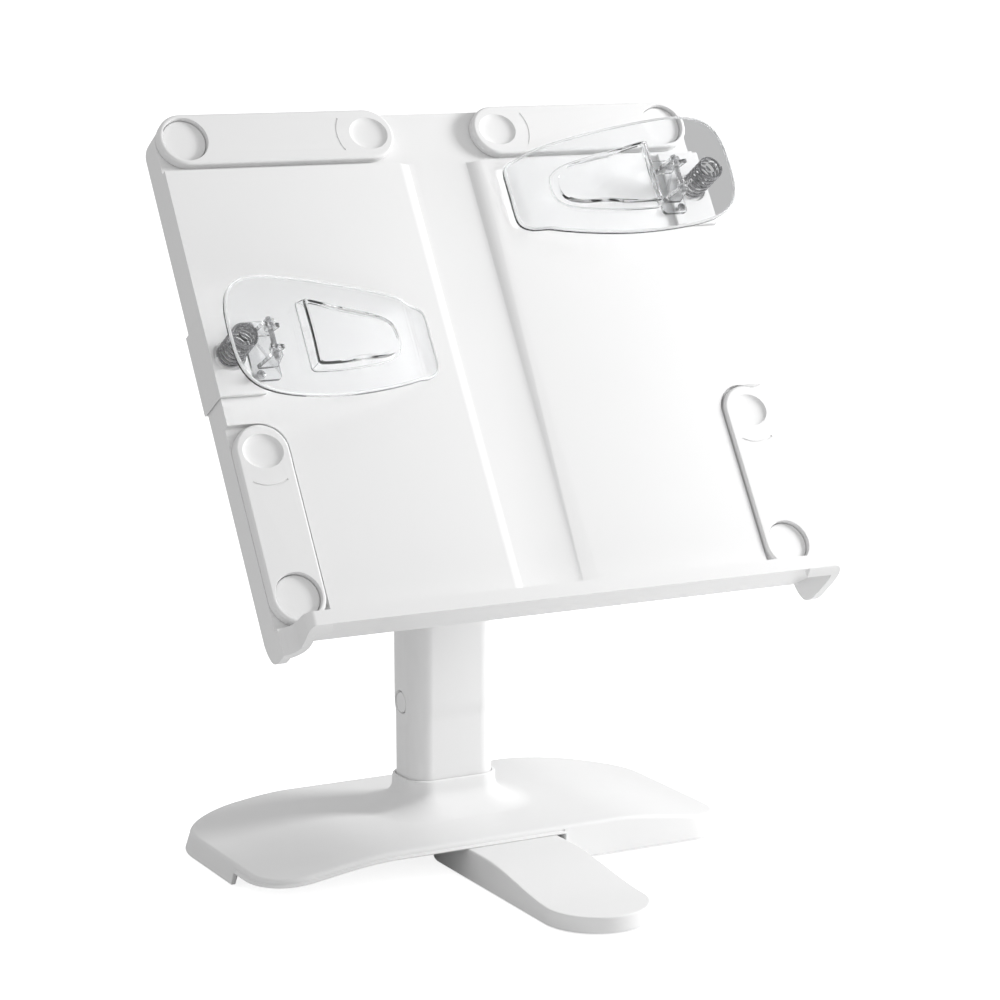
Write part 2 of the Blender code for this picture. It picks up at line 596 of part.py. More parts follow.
def make_board(tilt):
    foot = LEDGE_LIP_U - 15.0
    radii = (1.0, 1.0, BOARD_CORNER, BOARD_CORNER)
    outline = rounded_box((-BOARD_HALF, foot), (BOARD_HALF, BOARD_TOP_U), radii)
    board = solid("board", prism(outline, -BOARD_DEPTH, 0.0), tilt, "white_plastic", BOARD_ORIGIN)
    bevel = CHANNEL_HALF - CHANNEL_FLOOR_HALF
    channel = [(-CHANNEL_FLOOR_HALF, -RECESS_DEPTH), (CHANNEL_FLOOR_HALF, -RECESS_DEPTH),
               (CHANNEL_HALF + bevel, RECESS_DEPTH), (-CHANNEL_HALF - bevel, RECESS_DEPTH)]
    combine(board, "DIFFERENCE", prism(channel, LEDGE_TOP_U, BOARD_TOP_U + 9.0, "y"), *recesses(),
            origin=BOARD_ORIGIN)
    ledge = loft([[(x, u, n) for x, n in ledge_outline()] for u in (foot, LEDGE_TOP_U)])
    combine(board, "UNION", ledge, origin=BOARD_ORIGIN)

    # Fins hang from the ledge's ends, and between them its underside rises to the back
    far = 60.0
    below = [(foot - far, -far), (FIN_FOOT[0][0], -far), *FIN_FOOT, (FIN_FOOT[-1][0], far), (foot - far, far)]
    combine(board, "DIFFERENCE", prism(below, -BOARD_HALF - 9.0, BOARD_HALF + 9.0, "x"), origin=BOARD_ORIGIN)
    between = loft([[(x, u, n) for x, n in ledge_outline(FIN_WIDTH)] for u in (foot - 9.0, 0.0)])
    between = solid("board_between_fins", between, tilt, None, BOARD_ORIGIN)
    middle = box((-FIN_INNER_X, foot - 8.0, -far), (FIN_INNER_X, 1.0, far))
    combine(between, "UNION", middle, origin=BOARD_ORIGIN)
    slope = (LEDGE_BACK_U - LEDGE_LIP_U) / (LEDGE_REACH + BOARD_DEPTH)
    wedge = [(LEDGE_LIP_U - slope * (far - LEDGE_REACH), far),
             (LEDGE_LIP_U + slope * (far + LEDGE_REACH), -far), (foot - far, -far), (foot - far, far)]
    combine(between, "INTERSECT", prism(wedge, -BOARD_HALF, BOARD_HALF, "x"), origin=BOARD_ORIGIN)
    combine(board, "DIFFERENCE", between)

    # Open cells behind the panels, under the back covers, and behind the channel
    floor = -RECESS_DEPTH - BOARD_WALL
    cover_seat = -BOARD_DEPTH + COVER_THICK + GAP
    edge = 3.0  # the covers rest on a rim of this width
    pocket_u = (LEDGE_TOP_U + BOARD_WALL, BOARD_TOP_U - BOARD_WALL)
    cell_u = (pocket_u[0] + edge, pocket_u[1] - edge)
    for side, sign in SIDES.items():
        low, high = sorted((sign * SPINE_HALF, sign * (BOARD_HALF - BOARD_WALL)))
        corner = BOARD_CORNER - edge
        radii = (1.0, 1.0, 1.0, corner) if sign < 0 else (1.0, 1.0, corner, 1.0)
        pocket = rounded_box((low, pocket_u[0]), (high, pocket_u[1]), radii)
        combine(board, "DIFFERENCE", prism(pocket, -40.0, cover_seat), origin=BOARD_ORIGIN)
        cell_x = (SPINE_HALF + edge, BOARD_HALF - BOARD_WALL - edge)
        combine(board, "DIFFERENCE", *cells(sign, cell_x, cell_u, floor), origin=BOARD_ORIGIN)
        raised_x = (cell_x[0] + 1.0, ARM_PIVOT_X - ARM_RADIUS - 4.0)
        raised_u = (cell_u[0] + 1.0, RECESS_STEP_U - 3.0)
        raised = cells(sign, raised_x, raised_u, floor + RECESS_DEPTH)
        combine(board, "DIFFERENCE", *raised, origin=BOARD_ORIGIN)
        cover = rounded_box((low + GAP, pocket_u[0] + GAP), (high - GAP, pocket_u[1] - GAP), radii)
        cover = prism(cover, -BOARD_DEPTH, cover_seat - GAP)
        solid(f"back_cover_{side}", cover, tilt, "white_plastic", BOARD_ORIGIN)
    block = BRACKET_PLATE_HALF[1] + 3.0
    for u_low, u_high, half in ((cell_u[0], HINGE_U - block, SPINE_POCKET_HALF),
                                (HINGE_U + block, cell_u[1], SPINE_POCKET_HALF),
                                (HINGE_U - block + 6.0, HINGE_U + block - 6.0, 9.0)):
        combine(board, "DIFFERENCE", box((-half, u_low, -40.0), (half, u_high, floor)), origin=BOARD_ORIGIN)
    for name in ARMS:
        pivot, _ = arm_ends(name)
        combine(board, "DIFFERENCE", disc(pivot, PIN_SHANK_RADIUS + GAP, -20.0, 10.0, steps=16),
                origin=BOARD_ORIGIN)
    for x, u in BRACKET_SCREWS:
        combine(board, "DIFFERENCE", disc((x, u), 1.8, -40.0, BRACKET_SCREW_TIP_N + GAP, steps=16),
                origin=BOARD_ORIGIN)



def make_hinge(tilt):
    plate_low = -BOARD_DEPTH - GAP - BRACKET_THICK
    half_x, half_u = BRACKET_PLATE_HALF
    plate = box((-half_x, HINGE_U - half_u, plate_low), (half_x, HINGE_U + half_u, plate_low + BRACKET_THICK))
    bracket = solid("hinge_bracket", plate, tilt, "white_plastic", BOARD_ORIGIN)
    ear_foot = plate_low + BRACKET_THICK / 2
    ear = [(HINGE_U + 15.0, ear_foot), *arc((HINGE_U, HINGE_N), HINGE_RADIUS, 0.0, -180.0, 12),
           (HINGE_U - 15.0, ear_foot)]
    for sign in SIDES.values():
        low, high = sorted((sign * EAR_INNER, sign * EAR_OUTER))
        combine(bracket, "UNION", prism(ear, low, high, "x"), origin=BOARD_ORIGIN)
    axis = (HINGE_U, HINGE_N)
    combine(bracket, "DIFFERENCE", disc(axis, HINGE_BOLT_RADIUS + GAP, -40.0, 40.0, "x"), origin=BOARD_ORIGIN)
    for number, (x, u) in enumerate(BRACKET_SCREWS, 1):
        combine(bracket, "DIFFERENCE", disc((x, u), 1.8, -60.0, 0.0, steps=16), origin=BOARD_ORIGIN)
        head = plate_low - GAP
        profile = [(2.6, head - 2.0), (3.2, head - 1.4), (3.2, head), (1.5, head), (1.5, BRACKET_SCREW_TIP_N)]
        solid(f"bracket_screw_{number}", turned(profile, (x, u), steps=16), tilt, "steel", BOARD_ORIGIN)

    head = -EAR_OUTER - GAP
    end = EAR_OUTER + GAP + 6.0
    profile = [(6.2, head - 3.4), (7.0, head - 2.6), (7.0, head), (HINGE_BOLT_RADIUS, head),
               (HINGE_BOLT_RADIUS, end), (HINGE_BOLT_RADIUS - 0.8, end + 0.8)]
    solid("hinge_bolt", turned(profile, axis, "x"), tilt, "steel", BOARD_ORIGIN)
    nut = solid("hinge_nut", disc(axis, 7.4, -head, -head + 5.0, "x", steps=6), tilt, "steel", BOARD_ORIGIN)
    combine(nut, "DIFFERENCE", disc(axis, HINGE_BOLT_RADIUS + GAP, 0.0, 40.0, "x"), origin=BOARD_ORIGIN)
    for side, sign in SIDES.items():
        low, high = sorted((sign * (TONGUE_HALF + GAP), sign * (EAR_INNER - GAP)))
        washer = solid(f"hinge_washer_{side}", disc(axis, 10.0, low, high, "x"), tilt, "steel", BOARD_ORIGIN)
        hole = disc(axis, HINGE_BOLT_RADIUS + GAP, -40.0, 40.0, "x")
        combine(washer, "DIFFERENCE", hole, origin=BOARD_ORIGIN)


def make_arms(tilt):
    for name in ARMS:
        pivot, end = arm_ends(name)
        origin = (*pivot, 0.0)
        swing = frame(f"arm_swing_{name}", Vector(origin) - Vector(BOARD_ORIGIN), tilt)
        rings = [[(a, b, n) for a, b in stadium(pivot, end, ARM_RADIUS - inset)]
                 for n, inset in ((ARM_LOW_N, 0.0), (ARM_TOP_N - 1.0, 0.0), (ARM_TOP_N, 0.8))]
        arm = solid(f"arm_{name}", loft(rings), swing, "white_plastic", origin)
        seat = disc(pivot, PIN_HEAD_RADIUS + 0.5, PIN_SEAT_N, 9.0, steps=32)
        combine(arm, "DIFFERENCE", seat, origin=origin)
        combine(arm, "DIFFERENCE", disc(pivot, PIN_SHANK_RADIUS + GAP, -20.0, 10.0, steps=16), origin=origin)
        dimple = [(end[0] + 11.2 * math.cos(t), end[1] + 9.4 * math.sin(t))
                  for t in (2 * math.pi * i / 24 for i in range(24))]
        combine(arm, "DIFFERENCE", prism(dimple, ARM_TOP_N - 2.2, 9.0), origin=origin)

        head = PIN_SEAT_N + GAP
        back = -RECESS_DEPTH - BOARD_WALL - GAP
        profile = [(PIN_SHANK_RADIUS + 1.8, back - 1.4), (PIN_SHANK_RADIUS + 1.8, back),
                   (PIN_SHANK_RADIUS, back), (PIN_SHANK_RADIUS, head), (PIN_HEAD_RADIUS, head),
                   (PIN_HEAD_RADIUS, head + 0.9),
                   (PIN_HEAD_RADIUS - 0.6, head + 1.3)]
        solid(f"arm_pin_{name}", turned(profile, pivot), tilt, "white_plastic", BOARD_ORIGIN)


# ---------------------------------------------------------------- clips


def lever_stations():
    """Along the lever from its tip to its lobe: x, the plate's middle n, and its half width."""
    return (
        (36.0, 1.6, 16.5),
        (38.0, 1.6, 19.0),
        (46.0, 2.4, 22.4),
        (52.0, 7.0, 24.4),
        (60.0, 8.6, 26.6),
        (80.0, 12.0, 30.6),
        (100.0, 15.6, 33.2),
        (120.0, 20.4, 34.4),
        (137.5, 24.9, 34.4),
        (150.0, 28.0, 32.4),
        (158.0, 29.6, 27.8),
        (163.0, 30.6, 21.6),
        (166.0, 31.2, 12.0),
    )


def make_clip(tilt, side):
    sign = SIDES[side]
    centre = CLIP_CENTRES_U[side]
    slide_origin = (sign * BOARD_HALF, centre, 0.0)
    slide = frame(f"clip_slide_{side}", Vector(slide_origin) - Vector(BOARD_ORIGIN), tilt)

    def placed(shape):
        """From (x, v, n) to the board's frame: mirrored for the left side, and moved up to its centre."""
        to_board = Matrix.Translation((0.0, centre, 0.0)) @ Matrix.Diagonal((sign, 1.0, 1.0, 1.0))
        bmesh.ops.transform(shape, matrix=to_board, verts=shape.verts)
        return shape

    low = -BOARD_DEPTH - GAP
    section = [(CLIP_PLATE_X, GAP), (BOARD_HALF + GAP, GAP), (BOARD_HALF + GAP, low), (155.0, low),
               (155.0, low - 1.6), (CLIP_OUTER_X, low - 1.6), (CLIP_OUTER_X, 2.8), (CLIP_PLATE_X, 2.8)]
    block = placed(prism(section, -CLIP_HALF, CLIP_HALF, "y"))
    base = solid(f"clip_base_{side}", block, slide, "white_plastic", slide_origin)
    pocket = disc((CLIP_SPRING_X, 0.0), SPRING_COIL_RADIUS + SPRING_WIRE_RADIUS + 1.2, 1.6, 9.0)
    combine(base, "DIFFERENCE", placed(pocket), origin=slide_origin)

    foot_n = 3.1
    plate = placed(box((130.5, -17.0, foot_n), (146.5, 17.0, foot_n + 2.4)))
    bracket = solid(f"clip_bracket_{side}", plate, slide, "clear_plastic", slide_origin)
    ear = [(CLIP_PIN_X + 6.0, foot_n + 1.0)] + arc((CLIP_PIN_X, CLIP_PIN_N), 3.2, 0.0, 180.0, 8)
    ear += [(CLIP_PIN_X - 6.0, foot_n + 1.0)]
    for v in (-10.5, 8.0):
        combine(bracket, "UNION", placed(prism(ear, v, v + 2.5, "y")), origin=slide_origin)
    pin_axis = (CLIP_PIN_X, CLIP_PIN_N)
    bore = disc(pin_axis, CLIP_PIN_RADIUS + GAP, -20.0, 20.0, "y", steps=16)
    combine(bracket, "DIFFERENCE", placed(bore), origin=slide_origin)
    pin = turned([(1.2, -12.3), (1.5, -11.9), (1.5, 11.9), (1.2, 12.3)], pin_axis, "y", 16)
    solid(f"clip_pin_{side}", placed(pin), slide, "steel", slide_origin)

    for level, v in (("lower", -14.0), ("upper", 14.0)):
        place = (CLIP_PIN_X + 5.0, v)
        combine(bracket, "DIFFERENCE", placed(disc(place, 1.6, 0.0, 20.0, steps=12)), origin=slide_origin)
        combine(base, "DIFFERENCE", placed(disc(place, 1.6, 1.2, 20.0, steps=12)), origin=slide_origin)
        head = foot_n + 2.4 + GAP
        profile = [(1.3, 1.5), (1.3, head), (2.4, head), (2.4, head + 0.9), (1.8, head + 1.5)]
        screw = turned(profile, place, steps=12)
        solid(f"clip_screw_{side}_{level}", placed(screw), slide, "steel", slide_origin)

    under_lobe = 29.2 - LEVER_THICK / 2 - 1.0
    spring = helix((CLIP_SPRING_X, 0.0), 1.6 + GAP, under_lobe)
    solid(f"clip_spring_{side}", placed(spring), slide, "spring_steel", slide_origin)

    pivot = (sign * CLIP_PIN_X, centre, CLIP_PIN_N)
    hinge = frame(f"clip_lever_hinge_{side}", Vector(pivot) - Vector(slide_origin), slide)
    rings = []
    for x, n, half in lever_stations():
        below = n - LEVER_THICK / 2
        above = n + LEVER_THICK / 2
        rings.append([(x, -half, below), (x, half, below), (x, half, above), (x, -half, above)])
    lever = solid(f"clip_lever_{side}", placed(loft(rings)), hinge, "clear_plastic", pivot)
    lug = [(CLIP_PIN_X + 5.0, 26.0), (CLIP_PIN_X - 5.0, 24.0)]
    lug += arc(pin_axis, 3.4, 180.0, 360.0, 8)
    for v in (-7.4, 4.9):
        combine(lever, "UNION", placed(prism(lug, v, v + 2.5, "y")), origin=pivot)
    combine(lever, "DIFFERENCE", placed(disc(pin_axis, CLIP_PIN_RADIUS + GAP, -20.0, 20.0, "y", steps=16)),
            origin=pivot)


def main():
    clear_scene()
    root = frame("stand", (0.0, 0.0, 0.0))
    make_base(root)
    make_column(root)
    make_button(root)
    make_leg(root)
    slide = make_riser(root)
    hinge_place = Vector((0.0, HINGE_Y, HINGE_Z)) - Vector((0.0, COLUMN_Y, RISER_TOP_Z))
    tilt = frame("board_tilt", hinge_place, slide, (math.pi / 2 - BOARD_TILT, 0.0, 0.0))
    make_board(tilt)
    make_hinge(tilt)
    make_arms(tilt)
    for side in CLIP_CENTRES_U:
        make_clip(tilt, side)


main()
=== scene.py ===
"""The looks of the reading and copy stand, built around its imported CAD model.

Shapes are worked out in millimetres in one of two frames and then placed in the world in metres. WORLD is the
part's own frame. The board's frame is (x, u, n): x along its width, u up its face and n out of its face.
"""

import json
from math import acos, atan2, cos, degrees, hypot, pi, radians, sin, sqrt

import bmesh
import bpy
from mathutils import Matrix, Vector


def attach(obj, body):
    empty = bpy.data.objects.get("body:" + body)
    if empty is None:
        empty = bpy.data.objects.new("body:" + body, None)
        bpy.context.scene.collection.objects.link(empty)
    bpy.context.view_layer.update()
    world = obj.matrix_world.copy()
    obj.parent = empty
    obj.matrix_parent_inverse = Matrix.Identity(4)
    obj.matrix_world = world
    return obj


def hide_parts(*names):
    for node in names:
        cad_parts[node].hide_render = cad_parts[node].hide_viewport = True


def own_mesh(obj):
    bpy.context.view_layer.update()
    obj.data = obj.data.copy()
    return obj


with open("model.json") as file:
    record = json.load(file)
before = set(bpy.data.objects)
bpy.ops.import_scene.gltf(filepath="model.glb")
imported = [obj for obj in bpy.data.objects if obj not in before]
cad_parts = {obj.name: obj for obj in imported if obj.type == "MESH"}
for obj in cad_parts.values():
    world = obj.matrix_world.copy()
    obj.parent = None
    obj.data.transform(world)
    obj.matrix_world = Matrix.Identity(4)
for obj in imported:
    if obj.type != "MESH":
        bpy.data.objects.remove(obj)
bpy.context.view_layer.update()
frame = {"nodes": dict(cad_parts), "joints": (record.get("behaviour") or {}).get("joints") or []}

MM = 0.001
JOINTS = {joint["name"]: joint for joint in frame["joints"]}

# ---- driving dimensions, in millimetres

GAP = 0.3

# Base
BASE_HALF_X = 149.5
BASE_FRONT_Y = -14.0
BASE_BACK_Y = 136.5
BASE_RADII = (28.0, 45.0)  # front and back corners
BASE_WALL = 2.6
BASE_CREST_Z = 21.0
BASE_END_Z = 13.0
BASE_CREST_X = 70.0
BASE_LIFT = 1.5
BASE_DRAFT = 2.6
BASE_EDGE = 2.4
BASE_RIM = 0.7  # the rounding of the wall's lower edge
BASE_RAYS = 420  # points round each ring of the base
BASE_DECK_RINGS = 34
BASE_DECK_CROWDING = 1.7  # above 1 draws those rings together near the collar
BAY_END_Y = 34.0
BAY_END_SLOPE = 4.0
BAY_RIGHT_X = 36.0
BAY_BACK_Y = 49.0
BAY_LIP = 3.9  # height of the thin front edge over the leg's bay
RIB_THICK = 2.0
RIB_TOP_Z = 19.5

# Column
COLUMN_Y = 68.5
COLUMN_HALF = (27.0, 16.75)
COLUMN_RADIUS = 12.0
COLUMN_WALL = 2.5
COLUMN_FOOT_Z = 5.3
COLUMN_TOP_Z = 275.0
COLUMN_SWELL = (  # the column widens a little at this height, as (z, growth)
    (73.0, 0.0), (75.0, 0.06), (77.0, 0.22), (79.0, 0.48), (81.0, 0.68), (83.0, 0.78), (85.0, 0.8),
)
COLLAR_TOP_Z = 39.0
COLLAR_LIP = 2.6
COLLAR_FLARE = 20.0
COLLAR_RISE = 12.5
COLLAR_CURVE = 1.35
SOCKET_WALL = 2.4
BUTTON_Z = 83.0
BUTTON_RADIUS = 6.0
BUTTON_TRAVEL = 2.0
CAGE_X = -15.5
CAGE_WALL = 1.6
CAGE_HALF = 9.8
CAGE_HEIGHT_HALF = 10.0

# Front leg
LEG_PIVOT = (2.0, 17.0)
LEG_HALF_WIDTH = 31.0
LEG_TIP_Y = -136.5
LEG_ROOT_Z = 17.2
LEG_TIP_Z = 9.9
LEG_SLOPE_Y = (-32.0, -108.0)
LEG_DRAFT = 3.0  # over LEG_DRAFT_HEIGHT
LEG_DRAFT_HEIGHT = 19.0
LEG_WALL = 2.6
LEG_FOOT_Z = 1.2
LEG_EDGE = 1.1
LEG_BOLT_HOLE = 4.3
LEG_RIBS_Y = (-78.0, -54.0, -30.0, -6.0)

# Board
HINGE_U = 75.0
HINGE_N = -38.0
BOARD_HALF = 165.0
BOARD_TOP_U = 181.0
BOARD_DEPTH = 21.0
BOARD_CORNER = 15.5
BOARD_WALL = 2.6
CHANNEL_HALF = 26.0
CHANNEL_FLOOR_HALF = 18.0
SPINE_HALF = 26.6
SPINE_POCKET_HALF = 22.0
LEDGE_TOP_U = -114.3
LEDGE_LIP_U = -122.0
LEDGE_BACK_U = -116.3
LEDGE_REACH = 22.0
LEDGE_ENDS = {"left": (157.5, 5.0), "right": (165.0, 3.0)}  # half width and corner radius at each end
FIN_WIDTH = 5.0
FIN_INNER_X = 144.0
FIN_FOOT = (  # the lower edge of the fins at the ledge's ends, as (u, n), from the back to the front
    (-116.0, -21.0), (-119.5, -20.2), (-123.5, -18.6), (-127.3, -16.0), (-129.3, -12.0), (-129.8, -7.0),
    (-129.0, 0.0), (-127.8, 8.0), (-126.3, 15.0), (-124.1, 19.5), (-122.1, 22.0),
)
RECESS_DEPTH = 4.0
RECESS_STEP_U = 148.6
RECESS_FILLET = 0.8
COVER_SEAT = 2.3
HINGE_BLOCK_HALF = 31.0

# Arms
ARM_RADIUS = 15.3
ARM_LOW_N = -3.7
ARM_TOP_N = 2.0
ARM_SPANS = {"top": 109.0, "bottom": 81.0}
PIN_HEAD_RADIUS = 12.3
PIN_SHANK_RADIUS = 3.0
PIN_SEAT_N = -2.2
DIMPLE_RADII = (11.4, 9.6)
DIMPLE_PROFILE = (  # the finger dimple, as (share of its radii, height above the arm)
    (0.04, -1.9), (0.3, -1.86), (0.55, -1.75), (0.75, -1.5), (0.88, -1.1), (0.96, -0.6), (1.0, -0.1),
    (1.03, 0.15), (1.2, 1.2),
)
GROOVE_RADII = (18.6, 17.7)
GROOVE_SPREAD = 33.0  # degrees to each side
GROOVE_DEPTH = 0.4

# Clips
CLIP_HALF = 23.0
CLIP_PLATE_X = 139.5
CLIP_OUTER_X = 166.3
CLIP_PIN = (137.5, 20.0)
CLIP_PIN_RADIUS = 1.5
CLIP_SPRING_X = 155.5
CLIP_FACE = 2.8
CLIP_EARS_V = (-10.5, 8.0)
CLIP_LUGS_V = (-7.4, 4.9)
CLIP_EAR_THICK = 2.5
CLIP_SCREWS_V = {"lower": -14.0, "upper": 14.0}
BRACKET_FOOT = 3.1
BRACKET_THICK = 2.4
LEVER_THICK = 2.2
LEVER_CENTRE = (90.0, 0.0)
LEVER_LINE = (  # the lever's middle surface, as (x, n)
    (36.0, 1.6), (40.0, 1.7), (44.5, 2.3), (47.5, 4.0), (50.5, 6.3), (54.0, 7.9), (60.0, 9.0), (80.0, 12.2),
    (100.0, 15.6), (120.0, 20.2), (137.5, 24.9), (150.0, 28.0), (160.0, 30.0), (167.0, 31.3),
)
LEVER_SIDE = (  # half of the lever's outline, as (x, v)
    (36.2, 0.0), (36.1, 9.0), (36.3, 14.5), (37.5, 18.0), (40.5, 20.4), (46.0, 22.4), (60.0, 26.6),
    (80.0, 30.6), (100.0, 33.2), (120.0, 34.4), (137.5, 34.2), (150.0, 32.0), (158.0, 28.0), (163.0, 21.5),
    (165.5, 12.0), (166.1, 0.0),
)
TONGUE_SIDE = (
    (58.5, 0.0), (59.0, 4.0), (61.0, 8.5), (66.0, 12.0), (74.0, 14.6), (90.0, 17.6), (108.0, 19.6),
    (117.5, 20.2), (119.4, 19.4), (120.0, 17.5), (120.0, 0.0),
)
PLATE_SHARES = (  # of the way from the rim to the tongue's foot
    0.012, 0.03, 0.07, 0.13, 0.2, 0.28, 0.36, 0.44, 0.52, 0.6, 0.68, 0.76, 0.84, 0.91, 0.96, 1.0,
)
TONGUE_RISE = (3.2, 8.0)  # above the plate, at its nose and at its open end
TONGUE_WALL = (  # from the tongue's foot up to its dished top, as (distance inward, share of its rise)
    (0.25, 0.03), (0.6, 0.16), (1.2, 0.44), (2.0, 0.78), (2.5, 0.94), (3.0, 1.0), (3.8, 1.0), (4.6, 0.94),
    (5.6, 0.78),
)
RIM_BEAD = 0.8
TONGUE_BEAD = 0.5
SPRING_COIL = 6.6
SPRING_WIRE = 0.7
SPRING_TURNS = 8
SPRING_TRAVEL = 6.0  # how far a pressed lever pushes its spring down
SPRING_SEAT = 1.9
SPRING_BOSS_RADIUS = 3.4

# Smoothing, in degrees
SMOOTH_ANGLE = 38.0
BEVEL_ANGLE = 32.0

# Studio and camera: places, sizes and distances in metres, powers in watts, and the lens in millimetres
FLOOR_GLOW = 0.82
AMBIENT = 0.61
BACKDROP = 1.02
LIGHT_TARGET = (0.0, 0.0, 0.22)
KEY_DIRECTION = (0.893, -0.274, 0.359)  # from the target
KEY_DISTANCE = 1.15
KEY_POWER = 14.5
KEY_SIZE = (0.3, 0.3)
FILL_PLACE = (-0.5, -1.9, 0.9)
FILL_POWER = 1.5
FILL_SIZE = (1.4, 1.0)
CAMERA_PLACE = (-0.75345, -1.41537, 0.50543)
CAMERA_HEADING = (0.46206, 0.86502, -0.19557)
CAMERA_LENS = 106.4
CAMERA_SENSOR = 36.0
CAMERA_SHIFT = (-0.0029, 0.0434)

# ---- frames and places

WORLD = Matrix.Scale(MM, 4)


def board_frame():
    """The matrix from (x, u, n) in millimetres to the world, taken from three of the board's joints."""
    hinge = Vector(JOINTS["board_tilt"]["pos_m"])
    up = Vector(JOINTS["clip_slide_left"]["axis"]).normalized()
    out = Vector(JOINTS["arm_swing_top_left"]["axis"]).normalized()
    origin = hinge - up * HINGE_U * MM - out * HINGE_N * MM
    across = up.cross(out)
    columns = [(*(across * MM), 0.0), (*(up * MM), 0.0), (*(out * MM), 0.0), (*origin, 1.0)]
    return Matrix(columns).transposed()


BOARD = board_frame()
ARMS = ("top_left", "top_right", "bottom_left", "bottom_right")
SIDES = {"left": -1.0, "right": 1.0}


def on_board(joint_name):
    """A joint's place as (x, u, n)."""
    return BOARD.inverted() @ Vector(JOINTS[joint_name]["pos_m"])


def clip_place(side):
    """From (x, v, n), with x outward and v up from the clip's middle, to the world."""
    centre = on_board(f"clip_press_{side}")[1]
    return BOARD @ Matrix.Translation((0.0, centre, 0.0)) @ Matrix.Diagonal((SIDES[side], 1.0, 1.0, 1.0))


# ---- outlines


def arc(centre, radius, start, end, steps):
    """Points on an arc between two angles in degrees."""
    points = []
    for i in range(steps + 1):
        angle = radians(start + (end - start) * i / steps)
        points.append((centre[0] + radius * cos(angle), centre[1] + radius * sin(angle)))
    return points


def toward(start, end, share):
    """The point that lies a share of the way from start to end."""
    return tuple(a + (b - a) * share for a, b in zip(start, end))


def circle(centre, radius, steps=48):
    return arc(centre, radius, 0.0, 360.0, steps)[:-1]


def rounded_box(low, high, radii, steps=14):
    """A rectangle with its own corner radius at the lower left, lower right, upper right and upper left."""
    corners = (
        ((low[0], low[1]), (1, 1), 180.0),
        ((high[0], low[1]), (-1, 1), 270.0),
        ((high[0], high[1]), (-1, -1), 0.0),
        ((low[0], high[1]), (1, -1), 90.0),
    )
    points = []
    for (corner, inward, start), radius in zip(corners, radii):
        centre = (corner[0] + inward[0] * radius, corner[1] + inward[1] * radius)
        points += arc(centre, radius, start, start + 90.0, steps)
    return points


def column_outline(grow, steps=14):
    low = (-COLUMN_HALF[0] - grow, COLUMN_Y - COLUMN_HALF[1] - grow)
    high = (COLUMN_HALF[0] + grow, COLUMN_Y + COLUMN_HALF[1] + grow)
    return rounded_box(low, high, (COLUMN_RADIUS + grow,) * 4, steps)


def stadium(start, end, radius, steps=24, side_steps=1):
    """A bar with two round ends, with each straight side cut into side_steps."""
    heading = degrees(atan2(end[1] - start[1], end[0] - start[0]))
    far = arc(end, radius, heading - 90.0, heading + 90.0, steps)
    near = arc(start, radius, heading + 90.0, heading + 270.0, steps)
    points = []
    for first, second in ((far, near), (near, far)):
        points += first
        points += [toward(first[-1], second[0], i / side_steps) for i in range(1, side_steps)]
    return points


def rounding(size, count):
    """Steps over a quarter-round edge, from beside it to its top, as (how far in, how far below the top)."""
    angles = [radians(90.0 * i / count) for i in range(1, count + 1)]
    return [(size * (1.0 - cos(angle)), size * (1.0 - sin(angle))) for angle in angles]


def ray_hits(outline, centre, angles):
    """Where rays from the centre meet a star-shaped outline, one point for each angle in radians."""
    points = []
    for angle in angles:
        heading = (cos(angle), sin(angle))
        best = 0.0
        for (ax, ay), (bx, by) in zip(outline, outline[1:] + outline[:1]):
            ax, ay, bx, by = ax - centre[0], ay - centre[1], bx - centre[0], by - centre[1]
            cross_a = heading[0] * ay - heading[1] * ax
            cross_b = heading[0] * by - heading[1] * bx
            if cross_a * cross_b > 0.0 or cross_a == cross_b:
                continue
            share = cross_a / (cross_a - cross_b)
            reach = heading[0] * (ax + (bx - ax) * share) + heading[1] * (ay + (by - ay) * share)
            best = max(best, reach)
        points.append((centre[0] + heading[0] * best, centre[1] + heading[1] * best))
    return points


def catmull_rom(a, b, c, d, t):
    """One coordinate a share t of the way from b to c, on the curve through all four."""
    square = (2 * a - 5 * b + 4 * c - d) * t * t
    return 0.5 * (2 * b + (c - a) * t + square + (3 * b - a - 3 * c + d) * t ** 3)


def smooth_line(points, steps):
    """A Catmull-Rom curve through the points, with steps between each two."""
    ended = [points[0], *points, points[-1]]
    made = []
    for four in zip(ended, ended[1:], ended[2:], ended[3:]):
        for k in range(steps):
            made.append(tuple(catmull_rom(*values, k / steps) for values in zip(*four)))
    made.append(tuple(points[-1]))
    return made


def ease(share):
    share = min(max(share, 0.0), 1.0)
    return share * share * (3.0 - 2.0 * share)


# ---- solids, as bmeshes in millimetres

PLACE = {
    "x": lambda a, b, along: (along, a, b),
    "y": lambda a, b, along: (a, along, b),
    "z": lambda a, b, along: (a, b, along),
}


def loft(rings, closed=False):
    """A skin through rings of equally many points, capped at both ends, or joined end to end if closed."""
    shape = bmesh.new()
    made = [[shape.verts.new(point) for point in ring] for ring in rings]
    pairs = list(zip(made, made[1:]))
    if closed:
        pairs.append((made[-1], made[0]))
    for lower, upper in pairs:
        for i in range(len(lower)):
            j = (i + 1) % len(lower)
            shape.faces.new((lower[i], lower[j], upper[j], upper[i]))
    if not closed:
        shape.faces.new(made[0][::-1])
        shape.faces.new(made[-1])
    bmesh.ops.recalc_face_normals(shape, faces=shape.faces)
    return shape


def prism(outline, low, high, axis="z"):
    return loft([[PLACE[axis](a, b, along) for a, b in outline] for along in (low, high)])


def box(low, high):
    corners = [(low[0], low[1]), (high[0], low[1]), (high[0], high[1]), (low[0], high[1])]
    return prism(corners, low[2], high[2])


def disc(centre, radius, low, high, axis="z", steps=48):
    return prism(circle(centre, radius, steps), low, high, axis)


